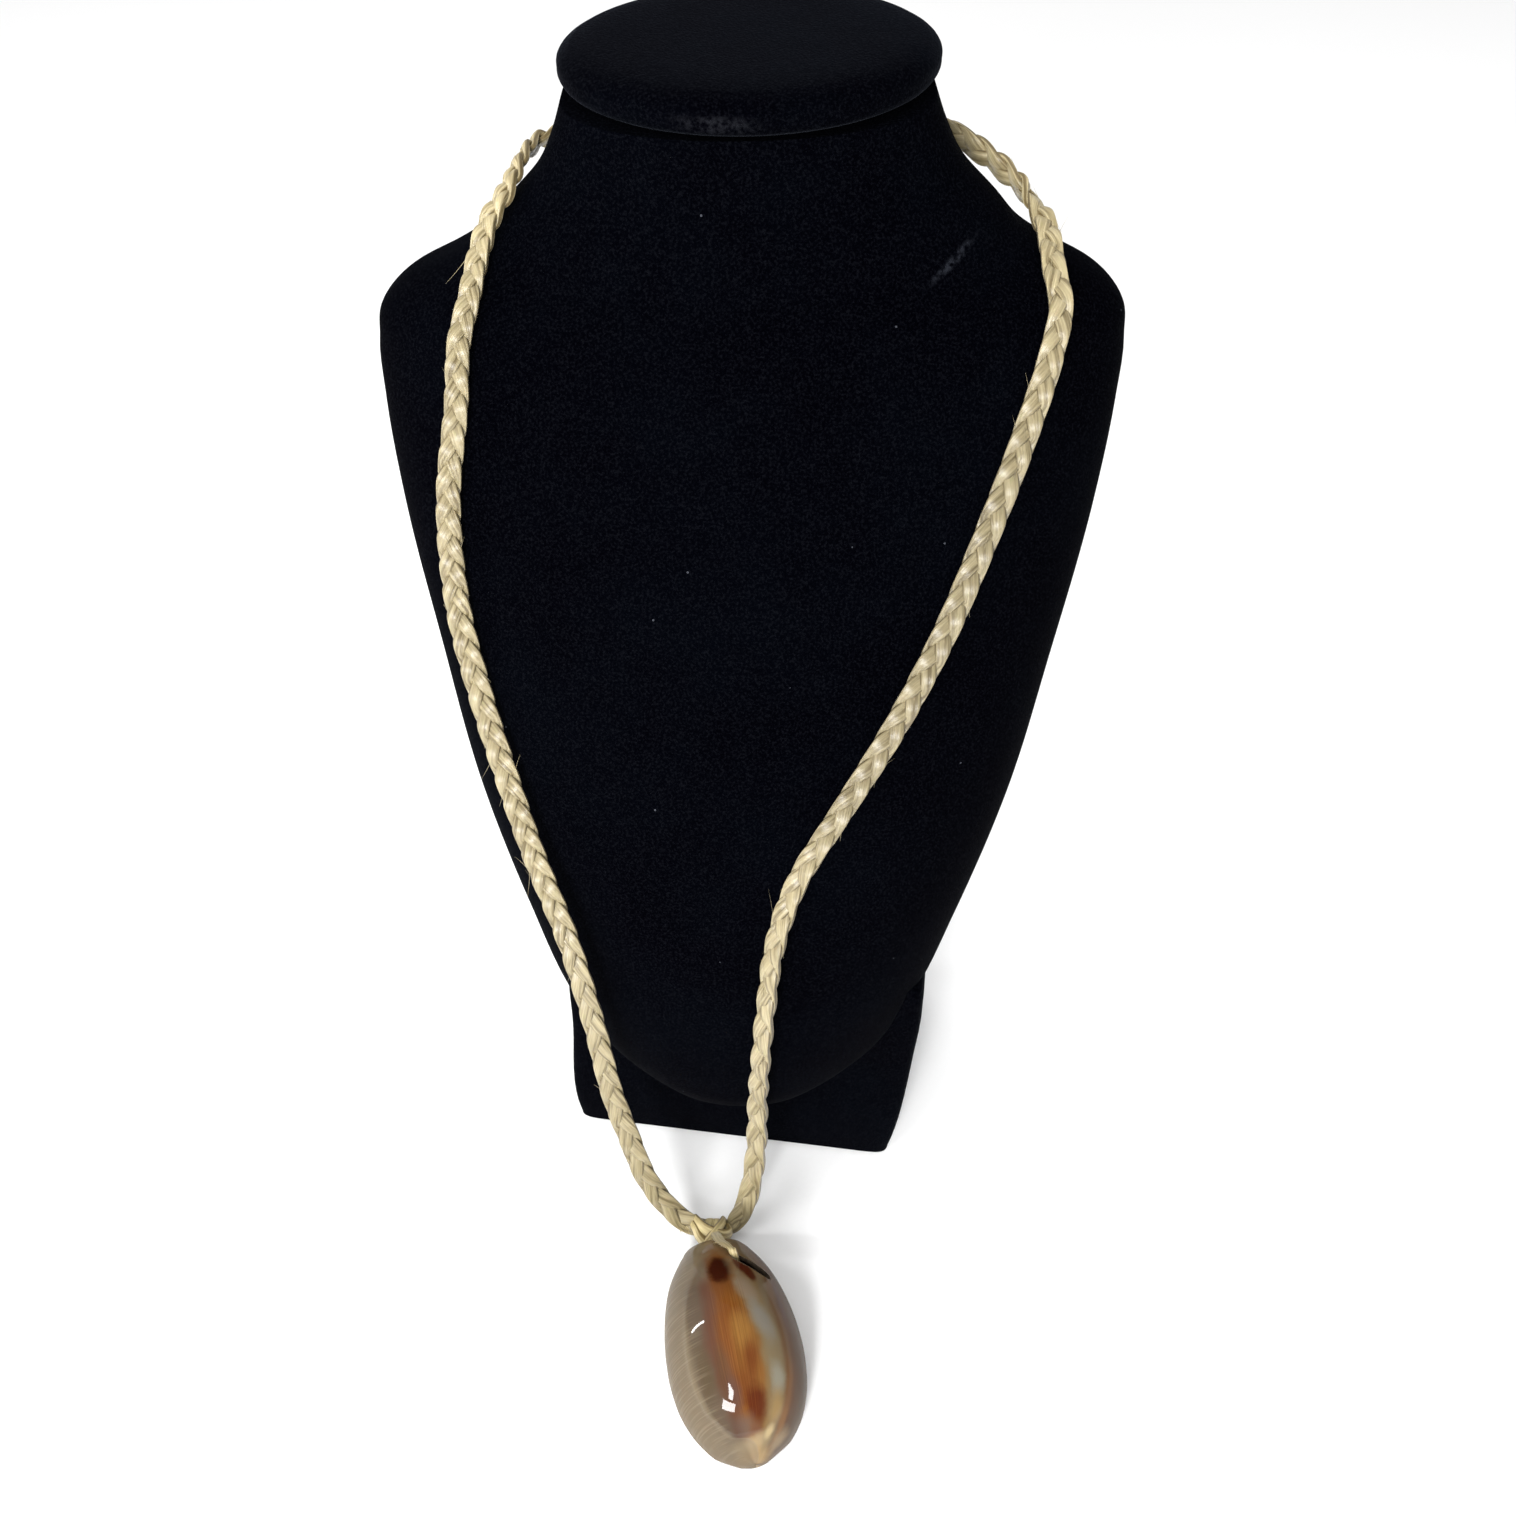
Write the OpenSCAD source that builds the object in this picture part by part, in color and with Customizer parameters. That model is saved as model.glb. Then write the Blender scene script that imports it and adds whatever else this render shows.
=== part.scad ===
// Cowrie shell necklace laid over a plain velvet neck bust, in mm.
// +Z is up, the front faces -Y and the stand's foot is at z = 0.
// The cord is a three strand plait that runs once round the whole loop.

/* [Bust] */
// Width across the shoulders
bust_w = 199; // [185:1:215]
// Height of the form from its lower rim to the top of the neck
bust_h = 287; // [275:1:300]
// Greatest thickness of the form, front to back
bust_d = 80; // [74:1:88]
// Height of the form's lower rim above the table
rim_z = 41; // [36:1:46]
// Sideways lean of the neck top
side_lean = 2; // [0:0.5:3]
// Shift of the neck top to the left
neck_shift = 1.4; // [0:0.1:2]
// Forward slope of the neck top
neck_slope = 8; // [4:0.5:10]

/* [Neck cap] */
// Width of the velvet-covered cap on the neck
cap_w = 95; // [92:1:100]
// Depth of the cap, front to back
cap_d = 67; // [62:1:70]
// Thickness of the cap
cap_t = 10; // [7:0.5:13]
// Distance of the cap's middle behind the middle of the neck
cap_back = 8.5; // [6:0.5:11]

/* [Stand] */
// Width of the block at its widest
stand_w = 115; // [110:1:120]
// Depth of the block, front to back
stand_d = 78; // [70:1:84]
// Height of the block
stand_h = 90; // [86:1:94]
// Distance of the block's front face ahead of the form's middle line
stand_front = 35; // [33:0.5:37]
// Turn of the block about the upright axis
stand_turn = 7; // [4:0.5:9]

/* [Loop] */
// Height over which the cord hangs free above the lashing
hang_h = 62; // [60:0.5:64]
// Side of the lashing from the bust's middle, negative to the left
knot_x = -8; // [-10:0.5:-6]
// Distance of the lashing ahead of the block's front face
knot_ahead = 38.2; // [37.5:0.1:39.5]
// Distance of the shell's end ahead of the lashing
shell_ahead = 6.5; // [6.3:0.1:7]
// Distance of the shell's end to the left of the lashing
shell_aside = 1.3; // [0.5:0.1:2]

/* [Plait] */
// Thickness of one strand of the plait
strand_d = 1.8; // [1.5:0.05:1.9]
// Swing of a strand to each side of the plait's middle
swing = 2.5; // [2.4:0.05:2.7]
// Rise of a strand to the front and back of the plait
rise = 1.6; // [1.5:0.05:1.7]
// Length of one full turn of the plait
lay_len = 22.5; // [21:0.5:26]
// Space left between the two ends inside the lashing
end_gap = 1.5; // [1.2:0.1:2.0]

/* [Lashing and tie] */
// Length of the lashing along the plait
lash_len = 8; // [6:0.5:8.5]
// Thickness of the lashing's windings
lash_t = 1.3; // [1.0:0.1:1.5]
// Number of windings side by side
lash_turns = 4; // [3:1:5]
// Width of the raffia band that ties the shell on
tie_w = 3.4; // [2.4:0.1:3.8]
// Thickness of the band
tie_t = 1.6; // [1.2:0.1:1.6]

/* [Shell] */
// Length of the cowrie
shell_l = 72; // [68:0.5:74]
// Width of the cowrie
shell_w = 42.5; // [40:0.5:45]
// Height of the cowrie
shell_h = 32; // [30:0.5:34]
// Thickness of the shell's wall
shell_wall = 2.2; // [1.8:0.1:2.6]
// Width of the toothed mouth on the underside
mouth_w = 3.4; // [3.0:0.1:4.5]
// Reach of one tooth into the mouth
tooth = 0.8; // [0.3:0.1:0.9]
// Width of the saw cut
cut_w = 2.4; // [2.3:0.1:3.0]
// Length of the saw cut
cut_len = 13; // [11:0.5:15]
// Turn of the shell on the table
shell_turn = 13.3; // [8:0.1:18]

/* [Fits] */
// Gap between pieces that rest on each other
fit_gap = 0.3; // [0.2:0.05:0.4]
// Gap between the table and what hangs down to it
table_gap = 0.3; // [0.2:0.05:0.4]

/* [Hidden] */

// Squareness of the form's front and back outlines
front_power = 2.1;
back_power = 3;
// Points round each ring, by piece
form_sides = 32;
cap_sides = 28;
strand_sides = 5;
lash_sides = 18;
tie_sides = 6;
shell_sides = 19;
// Rings of a strand in one full turn of the plait
rings_per_lay = 9;
// Steps between two points of a route
steps = 8;
// Depth of the neck's middle, where the slope of its top turns
neck_y = 45;
// Heights at which the lean and the slope begin, as shares of bust_h
lean_share = 0.554;
slope_share = 0.889;
// Size of the plait over all its strands
plait_w = 2*swing + strand_d;
plait_t = 2*rise + strand_d;
// Tip of the plait's face at the lashing, and the lashing's section round the plait
lash_tip = 55;
lash_room = 0.5;
function lash_point(a, grow) =
  [0, -sin(lash_tip), -cos(lash_tip)]*signed_power(cos(a), 0.75)*(plait_w/2 + lash_room + grow)
  + [0, -cos(lash_tip), sin(lash_tip)]*signed_power(sin(a), 0.75)*(plait_t/2 + lash_room + grow);
lash_low = -min([for (j = [0:lash_sides - 1]) lash_point(360*j/lash_sides, lash_t)[2]]);
// Middle of the lashed bend
knot = [knot_x, -stand_front - knot_ahead, table_gap + lash_low];
// Middle of the saw cut, as shares of the shell's half width, length and height
cut_at = [0.46, 0.314, 0.84];

// Form: height share, half width share, middle line, front and back depth shares
H = 0;
W = 1;
MID = 2;
FRONT = 3;
BACK = 4;
form_table = [
  [0.00, 0.20, -0.50, 0.11, 0.10],
  [0.01, 0.26, -0.45, 0.20, 0.16],
  [0.03, 0.34, -0.39, 0.30, 0.23],
  [0.07, 0.468, -0.33, 0.39, 0.31],
  [0.14, 0.58, -0.26, 0.48, 0.38],
  [0.24, 0.685, -0.15, 0.56, 0.41],
  [0.38, 0.81, 0.00, 0.59, 0.42],
  [0.52, 0.89, 0.14, 0.55, 0.40],
  [0.66, 0.965, 0.30, 0.51, 0.36],
  [0.75, 0.995, 0.41, 0.475, 0.34],
  [0.80, 1.00, 0.475, 0.45, 0.33],
  [0.83, 0.98, 0.51, 0.43, 0.32],
  [0.85, 0.91, 0.53, 0.40, 0.32],
  [0.865, 0.815, 0.54, 0.37, 0.32],
  [0.885, 0.715, 0.54, 0.35, 0.32],
  [0.91, 0.64, 0.55, 0.33, 0.32],
  [0.94, 0.55, 0.56, 0.30, 0.31],
  [0.97, 0.50, 0.56, 0.29, 0.335],
  [1.00, 0.465, 0.56, 0.28, 0.39],
];

// Cap: height share and size share
cap_table = [[0, 0.86], [0.10, 0.95], [0.30, 1.0], [0.65, 1.0], [0.85, 0.96], [0.96, 0.88], [1, 0.74]];

// Stand: height share, width share, depth share and shift to the side, as a share of the width
stand_table = [[0, 0.95, 0.995, -0.026], [0.02, 0.96, 1.0, -0.026], [0.6, 0.998, 1.0, -0.005], [0.88, 1.0, 1.0, 0],
               [0.97, 0.99, 0.985, 0], [1, 0.965, 0.955, 0]];

// Shell: length share from the lashed end, half width share, height share
shell_table = [
  [0.000, 0.20, 0.20],
  [0.020, 0.44, 0.33],
  [0.060, 0.55, 0.49],
  [0.130, 0.66, 0.67],
  [0.240, 0.81, 0.85],
  [0.380, 0.93, 0.97],
  [0.520, 0.99, 1.00],
  [0.660, 0.98, 0.94],
  [0.780, 0.89, 0.81],
  [0.880, 0.71, 0.63],
  [0.950, 0.49, 0.42],
  [0.985, 0.28, 0.27],
  [1.000, 0.18, 0.18],
];

// Laid cord: height share, angle round the form (0 right, -90 front), lift in plait widths, turn of its face
laid_route = [
  [0.20, -126, 1.25, 0],
  [0.30, -127, 1.10, 0],
  [0.38, -132, 0.80, 0],
  [0.45, -137, 0.50, 0],
  [0.52, -142, 0.22, 0],
  [0.60, -144, 0.10, 0],
  [0.70, -141, 0.10, 0],
  [0.78, -136.5, 0.12, 0],
  [0.83, -136.5, 0.20, 0],
  [0.86, -143.5, 0.38, 0],
  [0.885, -156, 0.40, 0],
  [0.91, -165, 0.38, 0],
  [0.93, -173, 0.30, 0],
  [0.94, 172, 0.27, 0],
  [0.94, 158, 0.40, 0],
  [0.94, 140, 0.47, 20],
  [0.935, 110, 0.35, 60],
  [0.935, 70, 0.38, 115],
  [0.935, 40, 0.76, 160],
  [0.92, 25, 0.76, 180],
  [0.905, 16, 0.68, 180],
  [0.89, 0, 0.50, 180],
  [0.87, -22, 0.41, 180],
  [0.85, -34, 0.32, 180],
  [0.82, -42, 0.18, 180],
  [0.76, -46.5, 0.10, 180],
  [0.68, -52, 0.10, 180],
  [0.60, -57.5, 0.10, 180],
  [0.52, -64.5, 0.10, 180],
  [0.44, -73.5, 0.15, 165],
  [0.38, -80, 0.24, 130],
  [0.31, -83.5, 0.30, 115],
  [0.24, -84.5, 0.38, 115],
  [0.16, -85, 0.60, 115],
];

// Hanging cord, from the knot: across, back and up in shares of hang_h, tip of the face from front to top, turn
left_drop = [
  [-0.05, 0, 0, 55, 0],
  [-0.09, 0, 0, 55, 0],
  [-0.16, 0.016, 0.032, 48, 0],
  [-0.26, 0.04, 0.16, 38, 0],
  [-0.35, 0.055, 0.37, 20, 0],
  [-0.43, 0.09, 0.685, 8, 0],
  [-0.50, 0.13, 0.99, 2, 0],
];
right_drop = [
  [0.22, 0.12, 1.01, 2, 115],
  [0.22, 0.097, 0.69, 6, 120],
  [0.20, 0.065, 0.37, 16, 135],
  [0.17, 0.04, 0.18, 30, 155],
  [0.126, 0.016, 0.056, 44, 172],
  [0.085, 0, 0, 55, 180],
  [0.05, 0, 0, 55, 180],
];

// Tie in the shell's shares: across, along, up, size share, and how far it lies along the cut
tie_route = [
  [0.11, -0.03, 0.25, 1, 0],
  [0.08, 0.035, 0.465, 1, 0],
  [0.07, 0.08, 0.605, 1, 0.1],
  [0.09, 0.14, 0.74, 0.95, 0.3],
  [0.18, 0.205, 0.83, 0.9, 0.6],
  [0.28, 0.262, 0.875, 0.8, 1],
  [0.345, 0.289, 0.80, 0.7, 1],
  [0.36, 0.293, 0.62, 0.7, 1],
  [0.28, 0.235, 0.38, 0.7, 0.6],
  [0.14, 0.115, 0.17, 0.65, 0.2],
  [0, 0.006, 0.095, 0.55, 0],
  [0, -0.008, 0.092, 0.5, 0],
];

// Small helpers
function flat(list) = [for (row = list) for (item = row) item];
function unit(v) = v/norm(v);
function signed_power(v, p) = sign(v)*pow(abs(v), p);
function mix(a, b, t) = a + (b - a)*t;
function clamp(v) = min(1, max(0, v));
function turned(v, axis, a) = v*cos(a) + cross(axis, v)*sin(a) + axis*(axis*v)*(1 - cos(a));

// Smooth value of a table's column at a share, through every row
function row_of(t, s) = max([for (k = [0:len(t) - 2]) if (k == 0 || t[k][0] <= s) k]);
function slope(t, c, k) =
  k == 0 ? (t[1][c] - t[0][c])/(t[1][0] - t[0][0]) :
  k == len(t) - 1 ? (t[k][c] - t[k - 1][c])/(t[k][0] - t[k - 1][0]) :
  let (a = t[k][0] - t[k - 1][0], b = t[k + 1][0] - t[k][0])
  ((t[k][c] - t[k - 1][c])/a*b + (t[k + 1][c] - t[k][c])/b*a)/(a + b);
function smooth(t, c, s) =
  let (k = row_of(t, s), h = t[k + 1][0] - t[k][0], u = clamp((s - t[k][0])/h))
  (1 + 2*u)*pow(1 - u, 2)*t[k][c] + u*pow(1 - u, 2)*h*slope(t, c, k)
  + u*u*(3 - 2*u)*t[k + 1][c] + u*u*(u - 1)*h*slope(t, c, k + 1);

// Lean, shift and slope of the neck's top, applied to a point of the form or of what lies on it
function leaned(p) =
  let (s = (p[2] - rim_z)/bust_h, a = clamp((s - lean_share)/(1 - lean_share)),
       b = clamp((s - slope_share)/(1 - slope_share)))
  [p[0] - neck_shift*b, p[1], p[2] + p[0]*tan(side_lean)*a + (p[1] - neck_y)*tan(neck_slope)*b];

// Point on the form's outline at a height share and an angle, and the way straight out of it
function form_point(s, a) =
  let (front = sin(a) < 0, n = front ? front_power : back_power,
       d = smooth(form_table, front ? FRONT : BACK, s)*bust_d)
  [signed_power(cos(a), 2/n)*smooth(form_table, W, s)*bust_w/2,
   signed_power(sin(a), 2/n)*d + smooth(form_table, MID, s)*bust_d, rim_z + s*bust_h];
function form_out(s, a) =
  let (front = sin(a) < 0, n = front ? front_power : back_power,
       d = smooth(form_table, front ? FRONT : BACK, s)*bust_d, w = smooth(form_table, W, s)*bust_w/2)
  unit([signed_power(cos(a), 2 - 2/n)/w, signed_power(sin(a), 2 - 2/n)/d, 0]);

// Way square to the form's surface, slope included
function form_square(s, a) =
  unit(cross(leaned(form_point(s, a + 3)) - leaned(form_point(s, a - 3)),
             leaned(form_point(min(1, s + 0.01), a)) - leaned(form_point(s - 0.01, a))));

// Solid skinned over closed rings that all have n points, its ends closed by fans
module ring_solid(rings) {
  n = len(rings[0]);
  m = len(rings);
  walls = [for (i = [0:m - 2]) for (j = [0:n - 1])
    let (a = i*n + j, b = i*n + (j + 1)%n) each [[a, a + n, b + n], [a, b + n, b]]];
  low = [for (k = [1:n - 2]) [0, k, k + 1]];
  high = [for (k = [1:n - 2]) [(m - 1)*n, (m - 1)*n + k + 1, (m - 1)*n + k]];
  polyhedron(points = flat(rings), faces = concat(walls, low, high));
}

// Tube skinned over closed rings and joined to itself all the way round
module ring_loop(rings) {
  n = len(rings[0]);
  m = len(rings);
  polyhedron(points = flat(rings), faces = [for (i = [0:m - 1]) for (j = [0:n - 1])
    let (a = i*n + j, b = i*n + (j + 1)%n, c = ((i + 1)%m)*n + j, d = ((i + 1)%m)*n + (j + 1)%n)
    each [[a, c, d], [a, d, b]]]);
}

// Form heights: every row of its table and the middle of each long step
form_heights = [for (k = [0:len(form_table) - 1])
  each (k < len(form_table) - 1 && form_table[k + 1][H] - form_table[k][H] > 0.08
        ? [form_table[k][H], (form_table[k][H] + form_table[k + 1][H])/2] : [form_table[k][H]])];

// Block with rounded corners, grown on every side by a margin
module block(margin) {
  w = stand_w/2 + margin;
  d = stand_d/2 + margin;
  translate([0, -stand_front, 0])
    rotate([0, 0, -stand_turn])
      translate([0, stand_d/2, 0])
        ring_solid([for (row = stand_table) [for (j = [0:23])
          let (a = j*15 + 7.5)
          [signed_power(cos(a), 0.08)*w*row[1] + row[3]*stand_w, signed_power(sin(a), 0.08)*d*row[2], row[0]*stand_h]]]);
}

// Plain box that clears the block on every side
module block_room() {
  translate([0, -stand_front, 0])
    rotate([0, 0, -stand_turn])
      translate([-stand_w/2 - fit_gap, -fit_gap, -1])
        cube([stand_w + 2*fit_gap, stand_d + 2*fit_gap, stand_h + fit_gap + 1]);
}

module bust_form() {
  color([0.02, 0.02, 0.025])
    difference() {
      ring_solid([for (s = form_heights) [for (j = [0:form_sides - 1]) leaned(form_point(s, j*360/form_sides))]]);
      block_room();
    }
}

module neck_cap() {
  color([0.02, 0.02, 0.025])
    ring_solid([for (row = cap_table) [for (j = [0:cap_sides - 1])
      let (a = j*360/cap_sides, x = cos(a)*cap_w/2*row[1], y = cap_back + sin(a)*cap_d/2*row[1])
      [x - neck_shift, neck_y + y, rim_z + bust_h + fit_gap + row[0]*cap_t + x*tan(side_lean) + y*tan(neck_slope)]]]);
}

module stand_base() {
  color([0.02, 0.02, 0.025])
    block(0);
}

// Route of the plait as points with the way its face looks: one row [x, y, z, nx, ny, nz, turn]
function drop_row(r) = concat(knot + [r[0], r[1], r[2]]*hang_h, [0, -cos(r[3]), sin(r[3])], [r[4]]);
function laid_row(r) =
  concat(leaned(form_point(r[0], r[1]) + form_out(r[0], r[1])*(plait_t/2 + fit_gap + r[2]*plait_w)),
         form_square(r[0], r[1]), [r[3]]);
ends = [for (e = [[-1, 0], [1, 180]]) drop_row([e[0]*end_gap/2/hang_h, 0, 0, lash_tip, e[1]])];
route_rows = concat([ends[0]], [for (r = left_drop) drop_row(r)], [for (r = laid_route) laid_row(r)],
                    [for (r = right_drop) drop_row(r)], [ends[1]]);

// Curve through the rows of a route, each span cut into equal steps
function curve(rows) =
  let (last = len(rows) - 1)
  concat([for (k = [0:last - 1]) for (j = [0:steps - 1])
    let (u = j/steps, h = norm(xyz(rows[k + 1]) - xyz(rows[k])),
         a = side_slope(rows, k)*h, b = side_slope(rows, k + 1)*h)
    (1 + 2*u)*pow(1 - u, 2)*rows[k] + u*pow(1 - u, 2)*a + u*u*(3 - 2*u)*rows[k + 1] + u*u*(u - 1)*b],
    [rows[last]]);
function xyz(r) = [r[0], r[1], r[2]];
function side_slope(rows, k) =
  k == 0 ? (rows[1] - rows[0])/norm(xyz(rows[1]) - xyz(rows[0])) :
  k == len(rows) - 1 ? (rows[k] - rows[k - 1])/norm(xyz(rows[k]) - xyz(rows[k - 1])) :
  let (a = norm(xyz(rows[k]) - xyz(rows[k - 1])), b = norm(xyz(rows[k + 1]) - xyz(rows[k])))
  ((rows[k] - rows[k - 1])/a*b + (rows[k + 1] - rows[k])/b*a)/(a + b);

// Length run along a curve at each of its points
function run_of(p) = [for (i = 0, s = 0; i < len(p);
  s = s + (i < len(p) - 1 ? norm(xyz(p[i + 1]) - xyz(p[i])) : 0), i = i + 1) s];

// Rows of a curve at equal lengths along it
function evenly(p, run, count) =
  let (total = run[len(run) - 1])
  [for (i = [0:count]) let (s = total*i/count)
    [for (c = [0:len(p[0]) - 1]) lookup(s, [for (k = [0:len(p) - 1]) [run[k], p[k][c]]])]];

plait_curve = curve(route_rows);
plait_run = run_of(plait_curve);
cord_len = plait_run[len(plait_run) - 1];
lays = round(cord_len/lay_len);
ring_count = lays*rings_per_lay;
plait_rows = evenly(plait_curve, plait_run, ring_count);

// Direction along a list of points, and the frame of the plait there
function along(p, i) = unit(xyz(p[min(i + 1, len(p) - 1)]) - xyz(p[max(i - 1, 0)]));
plait_frames = [for (i = [0:ring_count])
  let (t = along(plait_rows, i), r = plait_rows[i], raw = [r[3], r[4], r[5]],
       face = turned(unit(raw - t*(raw*t)), t, r[6]))
  [xyz(r), t, cross(t, face), face]];

// Middle of one strand at a ring, its phase being 0, 1 or 2
function strand_mid(i, phase) =
  let (a = 360*(i/rings_per_lay + phase/3) + 40, f = plait_frames[i])
  f[0] + f[2]*swing*sin(a) - f[3]*rise*sin(2*a);

module strand(phase) {
  mids = [for (i = [0:ring_count]) strand_mid(i, phase)];
  ring_solid([for (i = [0:ring_count])
    let (t = along(mids, i), face = plait_frames[i][3], b = unit(cross(t, face)), n = cross(b, t))
    [for (j = [0:strand_sides - 1]) let (a = -360*j/strand_sides)
      mids[i] + (b*cos(a) + n*sin(a))*strand_d/2]]);
}

module strand_1() {
  color([0.80, 0.73, 0.52])
    strand(0);
}

module strand_2() {
  color([0.78, 0.71, 0.50])
    strand(1);
}

module strand_3() {
  color([0.82, 0.75, 0.55])
    strand(2);
}

// Lashing: windings side by side round the plait, a closed band with a ridged outside
module lashing() {
  cuts = 2*lash_turns;
  profile = concat(
    [for (i = [0:cuts]) [-lash_len/2 + lash_len*i/cuts, lash_t*(i%2 == 0 ? 0.7 : 1)]],
    [[lash_len/2, 0], [-lash_len/2, 0]]);
  color([0.84, 0.78, 0.60])
    ring_loop([for (j = [0:lash_sides - 1])
      [for (q = profile) knot + [q[0], 0, 0] + lash_point(360*j/lash_sides, q[1])]]);
}

// Place on the table for what is modelled in the shell's own frame, its lashed end at the origin
module on_table() {
  translate([knot[0] - shell_aside, knot[1] - shell_ahead, table_gap])
    rotate([0, 0, shell_turn])
      children();
}

// Band of raffia from the lashing over the shell's end, down the cut and out at the end of the mouth
module shell_tie() {
  rows = [for (r = tie_route) [r[0]*shell_w/2, -r[1]*shell_l, r[2]*shell_h, r[3], r[4]]];
  p = curve(rows);
  cut_way = unit([cos(40), -sin(40), -0.4]);
  color([0.86, 0.80, 0.63])
    on_table()
      ring_solid([for (i = [0:2:len(p) - 1])
        let (t = along(p, i), raw = mix([1, 0, 0], cut_way, clamp(p[i][4])), b = unit(raw - t*(raw*t)), n = cross(b, t))
        [for (j = [0:tie_sides - 1]) let (a = -360*j/tie_sides)
          xyz(p[i]) + b*cos(a)*tie_w/2*p[i][3] + n*sin(a)*tie_t/2]]);
}

// One point of the shell's section: angle from the mouth's middle, drawn in by a wall
function shell_point(u, a, wall, reach) =
  let (w = smooth(shell_table, 1, u)*shell_w/2, h = smooth(shell_table, 2, u)*shell_h, side_z = 0.24*h,
       thin = wall*(0.35 + 0.65*smooth(shell_table, 1, u)),
       x = cos(a)*(w - thin), z = a > 0 && a < 180 ? (h - side_z - thin)*pow(abs(sin(a)), 0.95)
         : -(side_z - thin*0.8)*pow(abs(sin(a)), 0.67),
       lip = mouth_w/2*(0.5 + 0.5*smooth(shell_table, 1, u)) - reach)
  [abs(x) < lip ? (cos(a) < 0 ? -lip : lip) : x, -u*shell_l, side_z + z];

module shell_body() {
  last = len(shell_table) - 1;
  us = [for (k = [0:last]) each (k < last ? [shell_table[k][0], (shell_table[k][0] + shell_table[k + 1][0])/2]
        : [shell_table[k][0]])];
  n = shell_sides;
  rings = [for (i = [0:len(us) - 1])
    let (reach = i%2 == 0 ? 0 : tooth, span = 84)
    concat(
      [for (j = [0:n]) shell_point(us[i], -span + (180 + 2*span)*j/n, 0, reach)],
      [for (j = [n:-1:0]) shell_point(us[i], -span + (180 + 2*span)*j/n, shell_wall, reach)])];
  full = 2*n + 2;
  m = len(us);
  walls = [for (i = [0:m - 2]) for (j = [0:full - 1])
    let (a = i*full + j, b = i*full + (j + 1)%full)
    each [[a, a + full, b + full], [a, b + full, b]]];
  function cap(o) = [for (j = [0:n - 1]) each [[o + j, o + full - 1 - j, o + full - 2 - j], [o + j, o + full - 2 - j, o + j + 1]]];
  function back(list) = [for (f = list) [f[2], f[1], f[0]]];
  polyhedron(points = flat(rings), faces = concat(walls, back(cap(0)), cap((m - 1)*full)));
}

module shell() {
  color([0.62, 0.40, 0.24])
    on_table()
      difference() {
        shell_body();
        translate([cut_at[0]*shell_w/2, -cut_at[1]*shell_l, cut_at[2]*shell_h])
          rotate([0, 24, -40])
            translate([-cut_len/2, -cut_w/2, -0.22*shell_h])
              cube([cut_len, cut_w, 0.5*shell_h]);
      }
}

bust_form();
neck_cap();
stand_base();
strand_1();
strand_2();
strand_3();
lashing();
shell_tie();
shell();
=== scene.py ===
# %% [markdown]
# A cowrie shell necklace on a black velvet neck bust.
# The cord is a flat three strand plait of raffia, which is dried palm leaf torn into ribbons.
# Its two ends meet in front of the stand, where more raffia is wound round them and ties on the shell.
# Everything here is in the frame of the solid model, with +Z up, and the chest faces -Y. Blender works
# in metres. Lengths are written in millimetres, and become metres where a mesh is made.

# %% Load the solid model
import math
from functools import reduce
import numpy as np
import bmesh
import bpy
from mathutils import Matrix, Vector


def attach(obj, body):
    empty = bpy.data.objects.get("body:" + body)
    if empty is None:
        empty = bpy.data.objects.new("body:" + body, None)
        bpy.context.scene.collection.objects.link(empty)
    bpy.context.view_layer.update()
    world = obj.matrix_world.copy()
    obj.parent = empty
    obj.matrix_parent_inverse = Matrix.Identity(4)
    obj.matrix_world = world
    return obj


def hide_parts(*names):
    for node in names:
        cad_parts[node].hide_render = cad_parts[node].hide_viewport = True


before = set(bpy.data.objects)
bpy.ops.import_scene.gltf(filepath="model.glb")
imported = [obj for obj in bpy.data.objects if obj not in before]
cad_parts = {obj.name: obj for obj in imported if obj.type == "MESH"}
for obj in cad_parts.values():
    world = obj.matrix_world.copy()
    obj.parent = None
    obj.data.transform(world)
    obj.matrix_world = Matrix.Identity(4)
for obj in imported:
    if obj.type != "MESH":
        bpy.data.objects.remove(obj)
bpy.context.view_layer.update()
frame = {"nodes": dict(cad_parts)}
MM = 0.001
rng = np.random.default_rng(7)
print("solids:", ", ".join(frame["nodes"]))

# %% [markdown]
# The camera comes first. It looks down at 42 degrees from straight in front, as the photographer did,
# and it is rolled by one degree. A short camera distance gives the strong perspective of a phone picture.

# %% Set the camera
CAMERA_PLACE = np.array([3.9, -329.2, 446.3])
CAMERA_TILT, CAMERA_ROLL = math.radians(48), math.radians(1)
# focal length and width of the picture in pixels, and the sensor's width in mm
FOCAL_PX, FRAME_PX, SENSOR_W = 1456, 1516, 36


def placed(name, data):
    """An object at the origin that shows a mesh, or holds a camera or a light."""
    thing = bpy.data.objects.new(name, data)
    bpy.context.collection.objects.link(thing)
    return thing


camera_data = bpy.data.cameras.new("camera")
camera_data.sensor_width = SENSOR_W
camera_data.lens = SENSOR_W*FOCAL_PX/FRAME_PX
camera = placed("camera", camera_data)
camera.location = CAMERA_PLACE*MM
camera_turn = Matrix.Rotation(CAMERA_TILT, 3, "X") @ Matrix.Rotation(CAMERA_ROLL, 3, "Z")
camera.rotation_euler = camera_turn.to_euler()
bpy.context.scene.camera = camera
print("lens %.1f mm" % camera_data.lens)

# %% [markdown]
# Every form below is worked out from a short table of shares, such as the half width at each height.
# A smooth curve through a table's rows gives the value at any height between them, so a few rows
# are enough for a fine surface. The alternative is to sculpt by hand, which can't be measured.

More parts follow.
